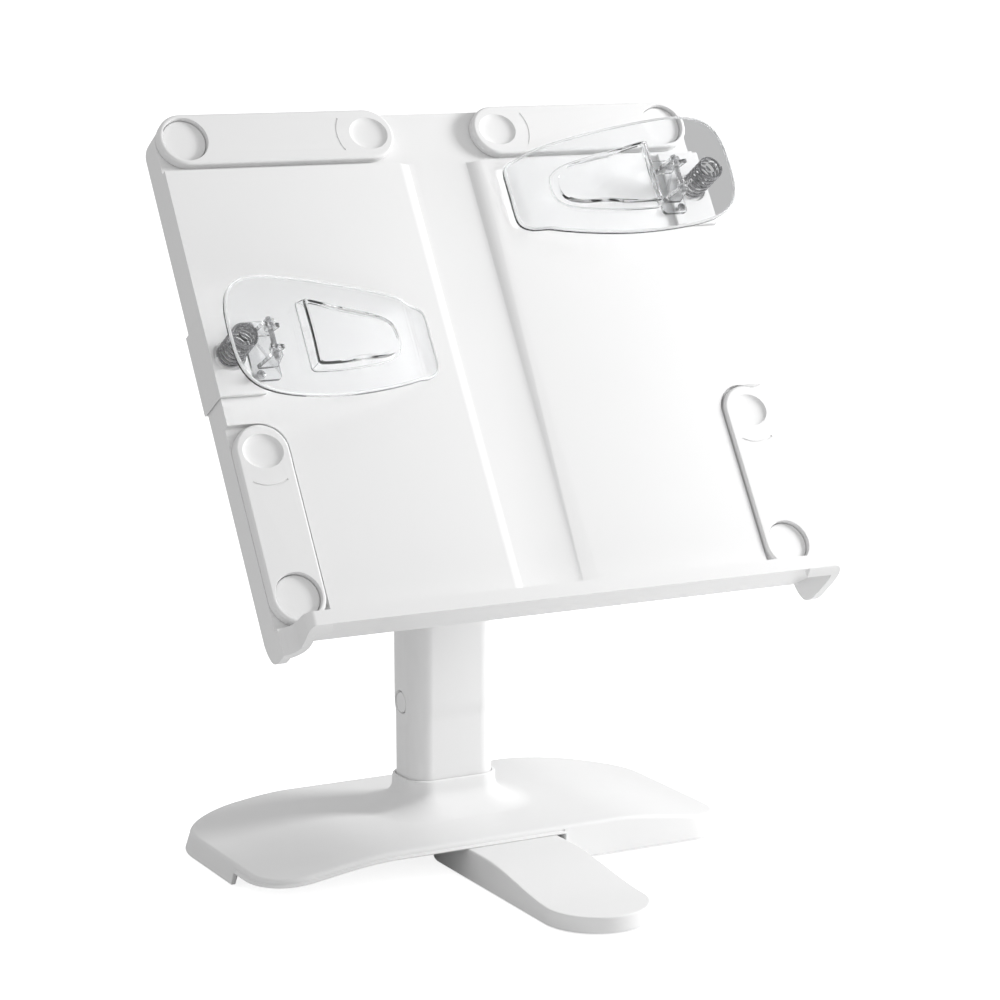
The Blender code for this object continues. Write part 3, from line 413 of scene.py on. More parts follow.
def turned(profile, centre, axis="z", steps=48):
    """A profile of (radius, height) turned about an axis through the centre."""
    rings = []
    for radius, along in profile:
        rings.append([PLACE[axis](a, b, along) for a, b in circle(centre, radius, steps)])
    return loft(rings)


def helix(centre, low, high, axis, coil, wire, turns, steps_per_turn=26, sides=10):
    """A coil spring with closed ends, as one round wire."""
    total = turns * steps_per_turn
    closed = steps_per_turn
    rise = high - low - 6 * wire
    rings = []
    for i in range(total + 1):
        open_share = min(max((i - closed) / (total - 2 * closed), 0.0), 1.0)
        end_rise = 2 * wire * (min(i, closed) + max(i - total + closed, 0)) / closed
        along = low + wire + end_rise + rise * open_share
        angle = 2 * pi * i / steps_per_turn
        ring = []
        for k in range(sides):
            bend = 2 * pi * k / sides
            reach = coil + wire * cos(bend)
            place = (centre[0] + reach * cos(angle), centre[1] + reach * sin(angle))
            ring.append(PLACE[axis](place[0], place[1], along + wire * sin(bend)))
        rings.append(ring)
    return loft(rings)


def add_object(name, data):
    obj = bpy.data.objects.new(name, data)
    bpy.context.scene.collection.objects.link(obj)
    return obj


def mesh_object(name, shape):
    """A bmesh as an object in the scene."""
    mesh = bpy.data.meshes.new(name)
    shape.to_mesh(mesh)
    shape.free()
    return add_object(name, mesh)


def cut(shape):
    return "DIFFERENCE", shape


def join(shape):
    return "UNION", shape


def keep_inside(shape):
    return "INTERSECT", shape


def carve(shape, *steps, bevel=0.0, segments=3):
    """The shape after Boolean steps of (operation, other shape), and a bevel along its sharp edges."""
    obj = mesh_object("work", shape)
    helpers = []
    for operation, other in steps:
        helper = mesh_object("work", other)
        helpers.append(helper)
        modifier = obj.modifiers.new(operation, "BOOLEAN")
        modifier.operation = operation
        modifier.solver = "EXACT"
        modifier.object = helper
    if bevel:
        modifier = obj.modifiers.new("weld", "WELD")
        modifier.merge_threshold = 0.02
        modifier = obj.modifiers.new("bevel", "BEVEL")
        modifier.width = bevel
        modifier.segments = segments
        modifier.limit_method = "ANGLE"
        modifier.angle_limit = radians(BEVEL_ANGLE)
        modifier.miter_outer = "MITER_ARC"
        modifier.use_clamp_overlap = True
    graph = bpy.context.evaluated_depsgraph_get()
    graph.update()
    made = bmesh.new()
    made.from_object(obj, graph)
    for used in (obj, *helpers):
        mesh = used.data
        bpy.data.objects.remove(used)
        bpy.data.meshes.remove(mesh)
    return made


# ---- materials


class Nodes:
    """A material's node tree with its Principled shader, and short calls to add to it."""

    def __init__(self, name):
        self.material = bpy.data.materials.new(name)
        self.material.use_nodes = True
        self.tree = self.material.node_tree
        self.shader = self.tree.nodes["Principled BSDF"]
        self.place = self.add("ShaderNodeTexCoord").outputs["Object"]

    def feed(self, target, source):
        """Links a socket to another one, or sets it to a plain value."""
        if isinstance(source, bpy.types.NodeSocket):
            self.tree.links.new(source, target)
        else:
            target.default_value = source

    def add(self, kind, feeds=(), **settings):
        """A new node, with its inputs fed from pairs of (name or number, source)."""
        node = self.tree.nodes.new(kind)
        for key, value in settings.items():
            setattr(node, key, value)
        for key, source in feeds:
            self.feed(node.inputs[key], source)
        return node

    def noise(self, scale, detail=2.0, roughness=0.5, stretch=None):
        place = self.place
        if stretch:
            place = self.add("ShaderNodeMapping", (("Scale", stretch), ("Vector", place))).outputs["Vector"]
        feeds = (("Scale", scale), ("Detail", detail), ("Roughness", roughness), ("Vector", place))
        return self.add("ShaderNodeTexNoise", feeds).outputs["Fac"]

    def spread(self, source, low, high, from_low=0.3, from_high=0.7):
        """The source's middle values stretched onto low to high."""
        feeds = (("Value", source), ("From Min", from_low), ("From Max", from_high), ("To Min", low),
                 ("To Max", high))
        return self.add("ShaderNodeMapRange", feeds).outputs["Result"]

    def edges(self, amount):
        """How convex the surface is here, as a share up to amount, for wear along edges."""
        pointiness = self.add("ShaderNodeNewGeometry").outputs["Pointiness"]
        return self.spread(pointiness, 0.0, amount, 0.505, 0.56)

    def mix(self, factor, *colours):
        """Two colours mixed by a factor. Each is a plain colour or a socket."""
        ends = [(*colour, 1.0) if isinstance(colour, tuple) else colour for colour in colours]
        feeds = (("Factor", factor), (6, ends[0]), (7, ends[1]))
        return self.add("ShaderNodeMix", feeds, data_type="RGBA").outputs[2]

    def add_up(self, *sources):
        total = sources[0]
        for source in sources[1:]:
            total = self.add("ShaderNodeMath", ((0, total), (1, source)), operation="ADD").outputs[0]
        return total

    def bump(self, height, strength, distance):
        feeds = (("Height", height), ("Strength", strength), ("Distance", distance))
        self.set(Normal=self.add("ShaderNodeBump", feeds).outputs["Normal"])

    def set(self, **values):
        """Feeds the Principled shader, with _ for each space in an input's name."""
        for key, source in values.items():
            self.feed(self.shader.inputs[key.replace("_", " ")], source)

    def show(self, source):
        self.feed(self.tree.nodes["Material Output"].inputs["Surface"], source)


def white_plastic(name, tint, roughness, grain):
    """Satin moulded plastic: a fine eggshell grain, faint flow patches, and edges rubbed smoother."""
    made = Nodes(name)
    made.set(Metallic=0.0, IOR=1.46)
    patches = made.spread(made.noise(9.0, 3.0), 0.0, 1.0)
    shade = tuple(value * 0.975 for value in tint)
    colour = made.mix(patches, tint, shade)
    worn = made.edges(0.35)
    colour = made.mix(worn, colour, tuple(min(value * 1.03, 0.9) for value in tint))
    made.set(Base_Color=colour)
    rough = made.spread(made.noise(34.0, 4.0, 0.6), roughness - 0.05, roughness + 0.06)
    made.set(Roughness=made.add_up(rough, made.edges(-0.1)))
    height = made.add_up(made.noise(2600.0, 1.0), made.noise(520.0, 2.0))
    made.bump(height, grain, 0.00004)
    return made.material


def clear_plastic(name, clarity):
    """Polished acrylic with faint scuffs, that lets light past to what lies behind it."""
    made = Nodes(name)
    made.set(Base_Color=(0.985, 0.99, 0.995, 1.0), Metallic=0.0, IOR=1.49)
    made.set(Transmission_Weight=clarity)
    scuffs = made.spread(made.noise(60.0, 5.0, 0.7, (1.0, 0.25, 1.0)), 0.01, 0.05, 0.45, 0.8)
    made.set(Roughness=scuffs)
    made.bump(made.noise(30.0, 1.0), 0.05, 0.0002)
    clear = made.add("ShaderNodeBsdfTransparent", (("Color", (0.88, 0.88, 0.88, 1.0)),))
    shadow_ray = made.add("ShaderNodeLightPath").outputs["Is Shadow Ray"]
    feeds = (("Fac", shadow_ray), (1, made.shader.outputs["BSDF"]), (2, clear.outputs["BSDF"]))
    made.show(made.add("ShaderNodeMixShader", feeds).outputs["Shader"])
    return made.material


def metal(name, colour, roughness, stretch):
    """Plated or drawn steel with fine lines along one direction, and darker in places."""
    made = Nodes(name)
    made.set(Metallic=1.0)
    lines = made.noise(500.0, 3.0, 0.6, stretch)
    dull = made.spread(made.noise(90.0, 3.0), 0.0, 1.0)
    shade = tuple(value * 0.72 for value in colour)
    rough = made.spread(lines, roughness - 0.07, roughness + 0.1)
    made.set(Base_Color=made.mix(dull, colour, shade), Roughness=made.add_up(rough, made.edges(-0.08)))
    made.bump(lines, 0.15, 0.00003)
    return made.material


def rubber(name):
    """Black rubber with a coarse matt skin, and dust."""
    made = Nodes(name)
    dust = made.spread(made.noise(180.0, 4.0), 0.0, 0.6, 0.45, 0.75)
    made.set(Base_Color=made.mix(dust, (0.035, 0.035, 0.036), (0.12, 0.118, 0.115)))
    made.set(Roughness=made.spread(made.noise(400.0), 0.72, 0.9))
    made.bump(made.noise(1500.0, 2.0), 0.4, 0.0001)
    return made.material


FINISHES = {
    "white": (white_plastic("white_satin_plastic", (0.80, 0.80, 0.80), 0.42, 0.12), "white_plastic"),
    "panel": (white_plastic("white_matt_panel", (0.81, 0.81, 0.81), 0.5, 0.2), "white_plastic"),
    "clear": (clear_plastic("clear_acrylic", 1.0), "clear_plastic"),
    "frosted": (clear_plastic("moulded_acrylic_rim", 0.55), "clear_plastic"),
    "steel": (metal("zinc_plated_steel", (0.62, 0.62, 0.63), 0.28, (1.0, 1.0, 0.1)), "steel"),
    "spring": (metal("spring_steel_wire", (0.34, 0.34, 0.35), 0.3, (1.0, 0.3, 1.0)), "spring_steel"),
    "rubber": (rubber("black_rubber"), "rubber"),
}


# ---- pieces


def piece(name, shape, body, finish, place=WORLD, nodes=()):
    """The finished object: placed, smoothed, given its material, and riding on its body for its nodes."""
    bmesh.ops.transform(shape, matrix=place, verts=shape.verts)
    bmesh.ops.recalc_face_normals(shape, faces=shape.faces)
    obj = mesh_object(name, shape)
    obj.data.shade_smooth()
    obj.data.set_sharp_from_angle(angle=radians(SMOOTH_ANGLE))
    modifier = obj.modifiers.new("weighted normals", "WEIGHTED_NORMAL")
    modifier.keep_sharp = True
    material, slot = FINISHES[finish]
    obj.data.materials.append(material)
    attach(obj, body)
    if nodes:
        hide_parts(*nodes)
    return obj


def skin(node, shape, body, finish, place=WORLD):
    """The piece that stands for one CAD node and is named after it."""
    return piece(f"{node}_skin", shape, body, finish, place, (node,))


def shorten(spring, joint, place, fixed, pushed, travel):
    """Gives a coil spring its own copy of its mesh."""
    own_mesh(spring)


def node_shape(node):
    """A CAD node's mesh in millimetres, with its triangles joined back into flat faces."""
    shape = bmesh.new()
    shape.from_mesh(frame["nodes"][node].data)
    bmesh.ops.scale(shape, vec=(1 / MM,) * 3, verts=shape.verts)
    bmesh.ops.remove_doubles(shape, verts=shape.verts, dist=0.005)
    bmesh.ops.dissolve_limit(shape, angle_limit=radians(1.0), verts=shape.verts, edges=shape.edges)
    return shape


def soften(node, body, finish, bevel):
    """A CAD node with its edges rounded."""
    shape = carve(node_shape(node), bevel=bevel, segments=2)
    piece(f"{node}_soft", shape, body, finish, nodes=(node,))


# ---- base


def base_top(x):
    """Height of the base's top, which is level in the middle and falls away to both ends."""
    share = ease((abs(x) - BASE_CREST_X) / (BASE_HALF_X - BASE_CREST_X))
    return BASE_CREST_Z - (BASE_CREST_Z - BASE_END_Z) * share


def column_distance(x, y):
    """How far a point lies outside the column's section."""
    dx = abs(x) - COLUMN_HALF[0] + COLUMN_RADIUS
    dy = abs(y - COLUMN_Y) - COLUMN_HALF[1] + COLUMN_RADIUS
    outside = hypot(max(dx, 0.0), max(dy, 0.0))
    return outside + min(max(dx, dy), 0.0) - COLUMN_RADIUS


def base_surface(x, y):
    """The base's top with the flare that sweeps up to the collar."""
    share = min(max((column_distance(x, y) - COLLAR_LIP) / COLLAR_FLARE, 0.0), 1.0)
    return base_top(x) + COLLAR_RISE * (1.0 - sqrt(share)) ** COLLAR_CURVE


def base_foot(x, y):
    """Height of the wall's lower edge: the feet's gap, or over the leg's bay only a lip below the top."""
    lip = base_top(x) - BAY_LIP
    if x > BAY_RIGHT_X or y > BAY_BACK_Y:
        return BASE_LIFT
    if x > -BASE_HALF_X + BASE_RADII[0] and y < 0.0:
        return lip
    share = ease((BAY_END_Y - y) / BAY_END_SLOPE)
    return BASE_LIFT + (lip - BASE_LIFT) * share


def base_outline(inset):
    low = (-BASE_HALF_X + inset, BASE_FRONT_Y + inset)
    high = (BASE_HALF_X - inset, BASE_BACK_Y - inset)
    front, back = (radius - inset for radius in BASE_RADII)
    return rounded_box(low, high, (front, front, back, back), 40)


def base_angles():
    """Directions from the column, evenly spaced, with more where the bay's ends make a step in the wall."""
    turn = 2 * pi
    angles = [turn * i / BASE_RAYS for i in range(BASE_RAYS)]
    right = atan2(BASE_FRONT_Y - COLUMN_Y, BAY_RIGHT_X)
    angles += [(right + 0.0002 * k) % turn for k in (-1, 1)]
    left = atan2(BAY_END_Y - BAY_END_SLOPE / 2 - COLUMN_Y, -BASE_HALF_X)
    angles += [(left + 0.004 * k) % turn for k in range(-5, 6)]
    return sorted(angles)


BASE_ANGLES = base_angles()


def from_column(outline):
    """Where the rays from the column's middle meet an outline."""
    return ray_hits(outline, (0.0, COLUMN_Y), BASE_ANGLES)


def base_ring(inset, height):
    """The base's outline drawn in by inset, at height(x, y)."""
    return [(x, y, height(x, y)) for x, y in from_column(base_outline(inset))]


def base_walls():
    """Rings up the outside: the rim's rounded foot, the drafted wall and the rounded edge."""
    rings = []
    for inset, rise in ((BASE_RIM, 0.0), (0.2, 0.2), (0.0, BASE_RIM)):
        rings.append(base_ring(inset, lambda x, y, rise=rise: base_foot(x, y) + rise))
    for share in (0.33, 0.66, 1.0):
        def wall(x, y, share=share):
            low = base_foot(x, y) + BASE_RIM
            return low + (base_top(x) - BASE_EDGE - low) * share
        rings.append(base_ring(BASE_DRAFT * share, wall))
    for inset, drop in rounding(BASE_EDGE, 5):
        rings.append(base_ring(BASE_DRAFT + inset, lambda x, y, drop=drop: base_top(x) - drop))
    return rings


def base_deck():
    """Rings across the top and up the flare, closer together near the collar."""
    outer = from_column(base_outline(BASE_DRAFT + BASE_EDGE))
    inner = from_column(column_outline(COLLAR_LIP))
    rings = []
    for i in range(1, BASE_DECK_RINGS + 1):
        share = 1.0 - (1.0 - i / BASE_DECK_RINGS) ** BASE_DECK_CROWDING
        points = [toward(a, b, share) for a, b in zip(outer, inner)]
        rings.append([(x, y, base_surface(x, y)) for x, y in points])
    return rings


def base_inside():
    """Rings over the collar's lip, down its socket, under the top, and down the wall's inner face."""
    socket = GAP + SOCKET_WALL
    ceiling = BASE_CREST_Z - BASE_WALL
    collar = (
        (COLLAR_LIP - 0.15, 36.0), (COLLAR_LIP - 0.3, 38.2), (COLLAR_LIP - 0.5, 38.7),
        (COLLAR_LIP - 0.9, COLLAR_TOP_Z), (GAP + 0.5, COLLAR_TOP_Z), (GAP + 0.1, 38.6), (GAP, 38.0),
        (GAP, COLUMN_FOOT_Z), (socket, COLUMN_FOOT_Z), (socket, ceiling),
    )
    rings = []
    for grow, z in collar:
        rings.append([(x, y, z) for x, y in from_column(column_outline(grow))])
    inner = from_column(column_outline(socket))
    outer = from_column(base_outline(BASE_DRAFT + BASE_WALL))
    for share in (0.25, 0.5, 0.75, 0.9, 1.0):
        points = [toward(a, b, share) for a, b in zip(inner, outer)]
        rings.append([(x, y, base_top(x) - BASE_WALL) for x, y in points])

    def inner_foot(x, y):
        return min(base_foot(x, y) + 0.2, base_top(x) - BASE_WALL - 0.1)

    rings.append(base_ring(BASE_WALL, inner_foot))
    rings.append(base_ring(BASE_WALL - 0.3, base_foot))
    return rings


def bay_ribs():
    """Partitions round the leg's bay, and the boss that the leg turns on, trimmed to the shell's inside."""
    right = BAY_RIGHT_X + RIB_THICK
    ribs = (
        box((-146.0, BAY_BACK_Y, 1.6), (right, BAY_BACK_Y + RIB_THICK, RIB_TOP_Z)),
        box((BAY_RIGHT_X, BASE_FRONT_Y + 1.5, 1.7), (right, BAY_BACK_Y + 1.0, RIB_TOP_Z + 0.1)),
        disc(LEG_PIVOT, 11.0, 14.0, RIB_TOP_Z),
    )
    reach = 160.0
    under = [(-reach, -30.0), (reach, -30.0)]
    under += [(x, base_top(x) - BASE_WALL + 0.9) for x in (reach - 5.0 * i for i in range(65))]
    outline = base_outline(BASE_WALL - 0.8)
    steps = []
    for rib in ribs:
        limits = (keep_inside(prism(under, -60.0, 180.0, "y")), keep_inside(prism(outline, -5.0, 40.0)))
        steps.append(join(carve(rib, *limits)))
    return steps


def make_base():
    shell = loft(base_walls() + base_deck() + base_inside(), closed=True)
    shell = carve(shell, *bay_ribs(), cut(disc(LEG_PIVOT, LEG_BOLT_HOLE, 0.0, 19.0)))
    piece("base_skin", shell, "base", "white", nodes=("base_shell",))


# ---- leg

LEG_TIP = (LEG_PIVOT[0], LEG_TIP_Y + LEG_HALF_WIDTH)  # the centre of its round front end


def leg_top(y):
    share = (LEG_SLOPE_Y[0] - y) / (LEG_SLOPE_Y[0] - LEG_SLOPE_Y[1])
    return LEG_ROOT_Z + (LEG_TIP_Z - LEG_ROOT_Z) * ease(share)


def leg_outline(inset=0.0):
    return stadium(LEG_TIP, LEG_PIVOT, LEG_HALF_WIDTH - inset, 40, 40)


def leg_ring(inset, height):
    """The leg's outline drawn in by inset, at height(y)."""
    return [(x, y, height(y)) for x, y in leg_outline(inset)]


def leg_wall(y, share):
    """Height a share of the way up the leg's drafted wall."""
    low = LEG_FOOT_Z + 0.5
    return low + (leg_top(y) - LEG_EDGE - LEG_FOOT_Z - 0.5) * share


def drafted_ring(share, more, height):
    """The outline drawn in by the wall's draft a share of the way up and by more, at height(y)."""
    points = []
    for x, y in leg_outline():
        near = min(max(y, LEG_TIP[1]), LEG_PIVOT[1])
        away = Vector((x - LEG_PIVOT[0], y - near)).normalized()
        inset = LEG_DRAFT / LEG_DRAFT_HEIGHT * (leg_wall(y, share) - LEG_FOOT_Z) + more
        points.append((x - away.x * inset, y - away.y * inset, height(y)))
    return points


def strip_caps(shape):
    """Cuts the two many-sided faces of a bar along Y into strips across it, so that they follow its curve."""
    for face in [face for face in shape.faces if len(face.verts) > 4]:
        rows = {}
        for vert in face.verts:
            rows.setdefault(round(vert.co.y, 3), []).append(vert)
        rows = [sorted(rows[y], key=lambda vert: vert.co.x) for y in sorted(rows)]
        upward = face.normal.z > 0.0
        shape.faces.remove(face)
        for low, high in zip(rows, rows[1:]):
            ring = [low[0], low[-1], high[-1], high[0]]
            corners = [vert for i, vert in enumerate(ring) if vert is not ring[i - 1]]
            shape.faces.new(corners if upward else corners[::-1])


def leg_solid():
    rings = [leg_ring(inset, lambda y, rise=rise: LEG_FOOT_Z + rise)
             for inset, rise in ((0.5, 0.0), (0.15, 0.15), (0.0, 0.5))]
    for share in (0.33, 0.66, 1.0):
        rings.append(drafted_ring(share, 0.0, lambda y, share=share: leg_wall(y, share)))
    for inset, drop in rounding(LEG_EDGE, 4):
        rings.append(drafted_ring(1.0, inset, lambda y, drop=drop: leg_top(y) - drop))
    solid = loft(rings)
    strip_caps(solid)
    return solid


def leg_cavity(pad):
    """The hollow underneath, around the pivot's boss, the pad's boss and the ribs."""
    cavity = loft([
        leg_ring(LEG_WALL, lambda y: -2.0),
        leg_ring(LEG_WALL + 1.2, lambda y: leg_top(y) - LEG_WALL - 1.0),
        leg_ring(LEG_WALL + 2.2, lambda y: leg_top(y) - LEG_WALL),
    ])
    strip_caps(cavity)
    middle = LEG_PIVOT[0]
    kept = [cut(disc(LEG_PIVOT, 14.0, 6.0, 30.0)), cut(disc(pad, 10.0, 2.2, 31.0)),
            cut(box((middle - 1.0, LEG_TIP[1] + 4.0, 2.2), (middle + 1.0, 7.0, 29.0)))]
    for y in LEG_RIBS_Y:
        kept.append(cut(box((middle - 40.0, y - 0.9, 3.4), (middle + 40.0, y + 0.9, 28.0))))
    return carve(cavity, *kept)


def make_leg():
    pad = (LEG_PIVOT[0], LEG_TIP[1] + 2.0)
    shape = carve(leg_solid(), cut(leg_cavity(pad)), cut(disc(LEG_PIVOT, 12.0, 12.6, 30.0)),
                  cut(disc(LEG_PIVOT, LEG_BOLT_HOLE, -5.0, 33.0)), cut(disc(pad, 3.3, -5.0, 5.5)))
    piece("leg_skin", shape, "leg", "white", nodes=("front_leg",))


# ---- column


def make_column():
    top = COLUMN_SWELL[-1][1]
    levels = [(COLUMN_FOOT_Z, 0.0), (40.0, 0.0), *COLUMN_SWELL]
    rim = ((1.6, 0.0), (0.9, 0.12), (0.3, 0.5), (0.0, 1.1))
    levels += [(COLUMN_TOP_Z - drop, top - inset) for drop, inset in rim]
    shape = loft([[(a, b, z) for a, b in column_outline(grow, 20)] for z, grow in levels])
    wall_x = -COLUMN_HALF[0] + COLUMN_WALL / 2
    inner = CAGE_HALF - CAGE_WALL
    far_x = CAGE_X + CAGE_WALL
    section = ((wall_x, -CAGE_HALF), (far_x, -CAGE_HALF), (far_x, CAGE_HALF), (wall_x, CAGE_HALF),
               (wall_x, inner), (CAGE_X, inner), (CAGE_X, -inner), (wall_x, -inner))
    cage_z = (BUTTON_Z - CAGE_HEIGHT_HALF, BUTTON_Z + CAGE_HEIGHT_HALF)
    cage = prism([(x, COLUMN_Y + y) for x, y in section], *cage_z)
    # The hole's edge is eased by a short flare outside
    flare = ((1.3, -40.0), (1.1, -27.2), (0.5, -26.3), (GAP, -25.7), (GAP, -20.0))
    hole = turned([(BUTTON_RADIUS + grow, x) for grow, x in flare], (COLUMN_Y, BUTTON_Z), "x")
    bore = prism(column_outline(-COLUMN_WALL, 20), -1.0, COLUMN_TOP_Z + 9.0)
    skin("column", carve(shape, cut(bore), join(cage), cut(hole)), "base", "white")


def make_button():
    centre = (COLUMN_Y, BUTTON_Z)
    face = -COLUMN_HALF[0] - 0.5
    flange = -COLUMN_HALF[0] + COLUMN_WALL + 0.8
    back = flange + 1.3
    profile = [(0.8, face + 0.35), (3.4, face + 0.25), (4.6, face + 0.05), (5.3, face), (5.8, face + 0.25),
               (BUTTON_RADIUS, face + 0.8), (BUTTON_RADIUS, flange), (7.6, flange), (7.6, back)]
    skin("height_button", turned(profile, centre, "x"), "height_button", "white")
    near, far = back + GAP, CAGE_X - GAP
    spring = skin("height_spring", helix(centre, near, far, "x", 4.5, 0.45, 4), "base", "spring")
    shorten(spring, "height_button_press", WORLD, (far, *centre), (near, *centre), BUTTON_TRAVEL)


# ---- board


def ledge_outline(inset=0.0):
    """The ledge seen along the board, as (x, n), drawn in by inset. The left end steps in from the side."""
    back = -BOARD_DEPTH - inset
    outline = []
    for side in ("right", "left"):
        half, radius = LEDGE_ENDS[side]
        points = [(BOARD_HALF - inset, back)]
        root = BOARD_HALF - half
        if root > 0.0:
            start = 180.0 + degrees(acos(inset / (root + inset)))
            points += arc((BOARD_HALF, root), root + inset, start, 180.0, 12)
        corner = max(radius - inset, 0.5)
        centre = (half - inset - corner, LEDGE_REACH - inset - corner)
        points += arc(centre, corner, 0.0, 90.0, 20)
        outline += points if side == "right" else [(-x, n) for x, n in reversed(points)]
    return outline


def ledge_prism(inset, low, high):
    return loft([[(x, u, n) for x, n in ledge_outline(inset)] for u in (low, high)])


def arm_ends(name):
    """An arm's pivot and the centre of its far round end, as (x, u)."""
    pivot = tuple(on_board(f"arm_swing_{name}"))[:2]
    level, side = name.split("_")
    span = ARM_SPANS[level]
    if level == "top":
        return pivot, (pivot[0] - SIDES[side] * span, pivot[1])
    return pivot, (pivot[0], pivot[1] + span)


def flared(outline_at, high):
    """A cutter from the recesses' floor up to high, with a filleted foot, through outline_at(inset)."""
    levels = [(0.0, RECESS_FILLET), *rounding(RECESS_FILLET, 4)]
    rings = [[(a, b, rise - RECESS_DEPTH) for a, b in outline_at(inset)] for rise, inset in levels]
    rings.append([(a, b, high) for a, b in outline_at(0.0)])
    return loft(rings)


def top_bay(inset):
    """The recess for the two top arms, which runs out past the board's top and sides."""
    low = (-BOARD_HALF - 9.0, RECESS_STEP_U + inset)
    return rounded_box(low, (BOARD_HALF + 9.0, BOARD_TOP_U + 9.0), (0.4,) * 4, 3)


def low_bay(side, inset):
    """The recess for a bottom arm, from the ledge up, which runs out past the board's side."""
    pivot, end = arm_ends(f"bottom_{side}")
    near = abs(pivot[0]) - ARM_RADIUS - 1.0
    top = end[1] + ARM_RADIUS + 1.2 - inset
    if side == "right":
        return rounded_box((near + inset, LEDGE_TOP_U), (BOARD_HALF + 9.0, top), (0.4, 0.4, 0.4, 15.0), 16)
    return rounded_box((-BOARD_HALF - 9.0, LEDGE_TOP_U), (-near - inset, top), (0.4, 0.4, 15.0, 0.4), 16)


def ledge_steps(foot):
    """The ledge on the board, with fins that hang from its ends, and between them a rising underside."""
    far = 60.0
    fin_line = smooth_line(FIN_FOOT, 4)
    below = [(foot - far, -far), (fin_line[0][0], -far), *fin_line]
    below += [(fin_line[-1][0], far), (foot - far, far)]
    rise = (LEDGE_BACK_U - LEDGE_LIP_U) / (LEDGE_REACH + BOARD_DEPTH)
    wedge = [(LEDGE_LIP_U - rise * (far - LEDGE_REACH), far),
             (LEDGE_LIP_U + rise * (far + LEDGE_REACH), -far), (foot - far, -far), (foot - far, far)]
    middle = box((-FIN_INNER_X, foot - 8.0, -far), (FIN_INNER_X, 1.0, far))
    between = carve(ledge_prism(FIN_WIDTH, foot - 9.0, 0.0), join(middle),
                    keep_inside(prism(wedge, -BOARD_HALF, BOARD_HALF, "x")))
    under = prism(below, -BOARD_HALF - 9.0, BOARD_HALF + 9.0, "x")
    return [join(ledge_prism(0.0, foot, LEDGE_TOP_U)), cut(under), cut(between)]


def board_hollows():
    """The cells behind the panels and the spine, and the arm pins' holes."""
    steps = []
    floor = -RECESS_DEPTH - BOARD_WALL
    edge = 3.0
    bottom, top = LEDGE_TOP_U + BOARD_WALL, BOARD_TOP_U - BOARD_WALL
    for sign in SIDES.values():
        low, high = sorted((sign * SPINE_HALF, sign * (BOARD_HALF - BOARD_WALL)))
        corner = BOARD_CORNER - edge
        radii = (1.0, 1.0, 1.0, corner) if sign < 0 else (1.0, 1.0, corner, 1.0)
        seat = rounded_box((low, bottom), (high, top), radii)
        steps.append(cut(prism(seat, -40.0, -BOARD_DEPTH + COVER_SEAT)))
        cell = rounded_box((low + edge, bottom + edge), (high - edge, top - edge), (8.0,) * 4)
        steps.append(cut(prism(cell, -41.0, floor)))
    spine = ((bottom + edge, HINGE_U - HINGE_BLOCK_HALF), (HINGE_U + HINGE_BLOCK_HALF, top - edge))
    for low, high in spine:
        cell = rounded_box((-SPINE_POCKET_HALF, low), (SPINE_POCKET_HALF, high), (3.0,) * 4)
        steps.append(cut(prism(cell, -42.0, floor)))
    for name in ARMS:
        pivot, _ = arm_ends(name)
        steps.append(cut(disc(pivot, PIN_SHANK_RADIUS + GAP, -20.0, 10.0, steps=24)))
    return steps


def make_board():
    foot = LEDGE_LIP_U - 15.0
    radii = (1.0, 1.0, BOARD_CORNER, BOARD_CORNER)
    shape = prism(rounded_box((-BOARD_HALF, foot), (BOARD_HALF, BOARD_TOP_U), radii, 18), -BOARD_DEPTH, 0.0)
    slope = CHANNEL_HALF - CHANNEL_FLOOR_HALF
    channel = [(-CHANNEL_FLOOR_HALF, -RECESS_DEPTH), (CHANNEL_FLOOR_HALF, -RECESS_DEPTH),
               (CHANNEL_HALF + slope, RECESS_DEPTH), (-CHANNEL_HALF - slope, RECESS_DEPTH)]
    steps = [cut(prism(channel, LEDGE_TOP_U, BOARD_TOP_U + 9.0, "y")), cut(flared(top_bay, 21.0))]
    for side in SIDES:
        steps.append(cut(flared(lambda inset, side=side: low_bay(side, inset), 22.0)))
    board = carve(shape, *steps, *ledge_steps(foot), bevel=0.8)
    # The hollows are cut after the bevel, so they stay crisp
    skin("board", carve(board, *board_hollows()), "board", "panel", BOARD)


# ---- arms


def arm_bar(pivot, end):
    edge = 1.7
    profile = [(ARM_LOW_N, 0.4), (ARM_LOW_N + 0.4, 0.0), (ARM_TOP_N - edge, 0.0)]
    profile += [(ARM_TOP_N - drop, inset) for inset, drop in rounding(edge, 5)]
    rings = []
    for n, inset in profile:
        rings.append([(a, b, n) for a, b in stadium(pivot, end, ARM_RADIUS - inset, 32)])
    return loft(rings)


def arm_dimple(end):
    rings = []
    for share, height in DIMPLE_PROFILE:
        ring = []
        for i in range(64):
            angle = 2 * pi * i / 64
            ring.append((end[0] + DIMPLE_RADII[0] * share * cos(angle),
                         end[1] + DIMPLE_RADII[1] * share * sin(angle), ARM_TOP_N + height))
        rings.append(ring)
    return loft(rings)


def arm_groove(pivot, end):
    """A thin curved line pressed beside the dimple."""
    along = Vector((end[0] - pivot[0], end[1] - pivot[1])).normalized()
    back = degrees(atan2(-along.y, -along.x))
    centre = (end[0] - along.x * 1.5, end[1] - along.y * 1.5)
    outer = arc(centre, GROOVE_RADII[0], back - GROOVE_SPREAD, back + GROOVE_SPREAD, 24)
    inner = arc(centre, GROOVE_RADII[1], back + GROOVE_SPREAD, back - GROOVE_SPREAD, 24)
    return prism(outer + inner, ARM_TOP_N - GROOVE_DEPTH, 9.0)


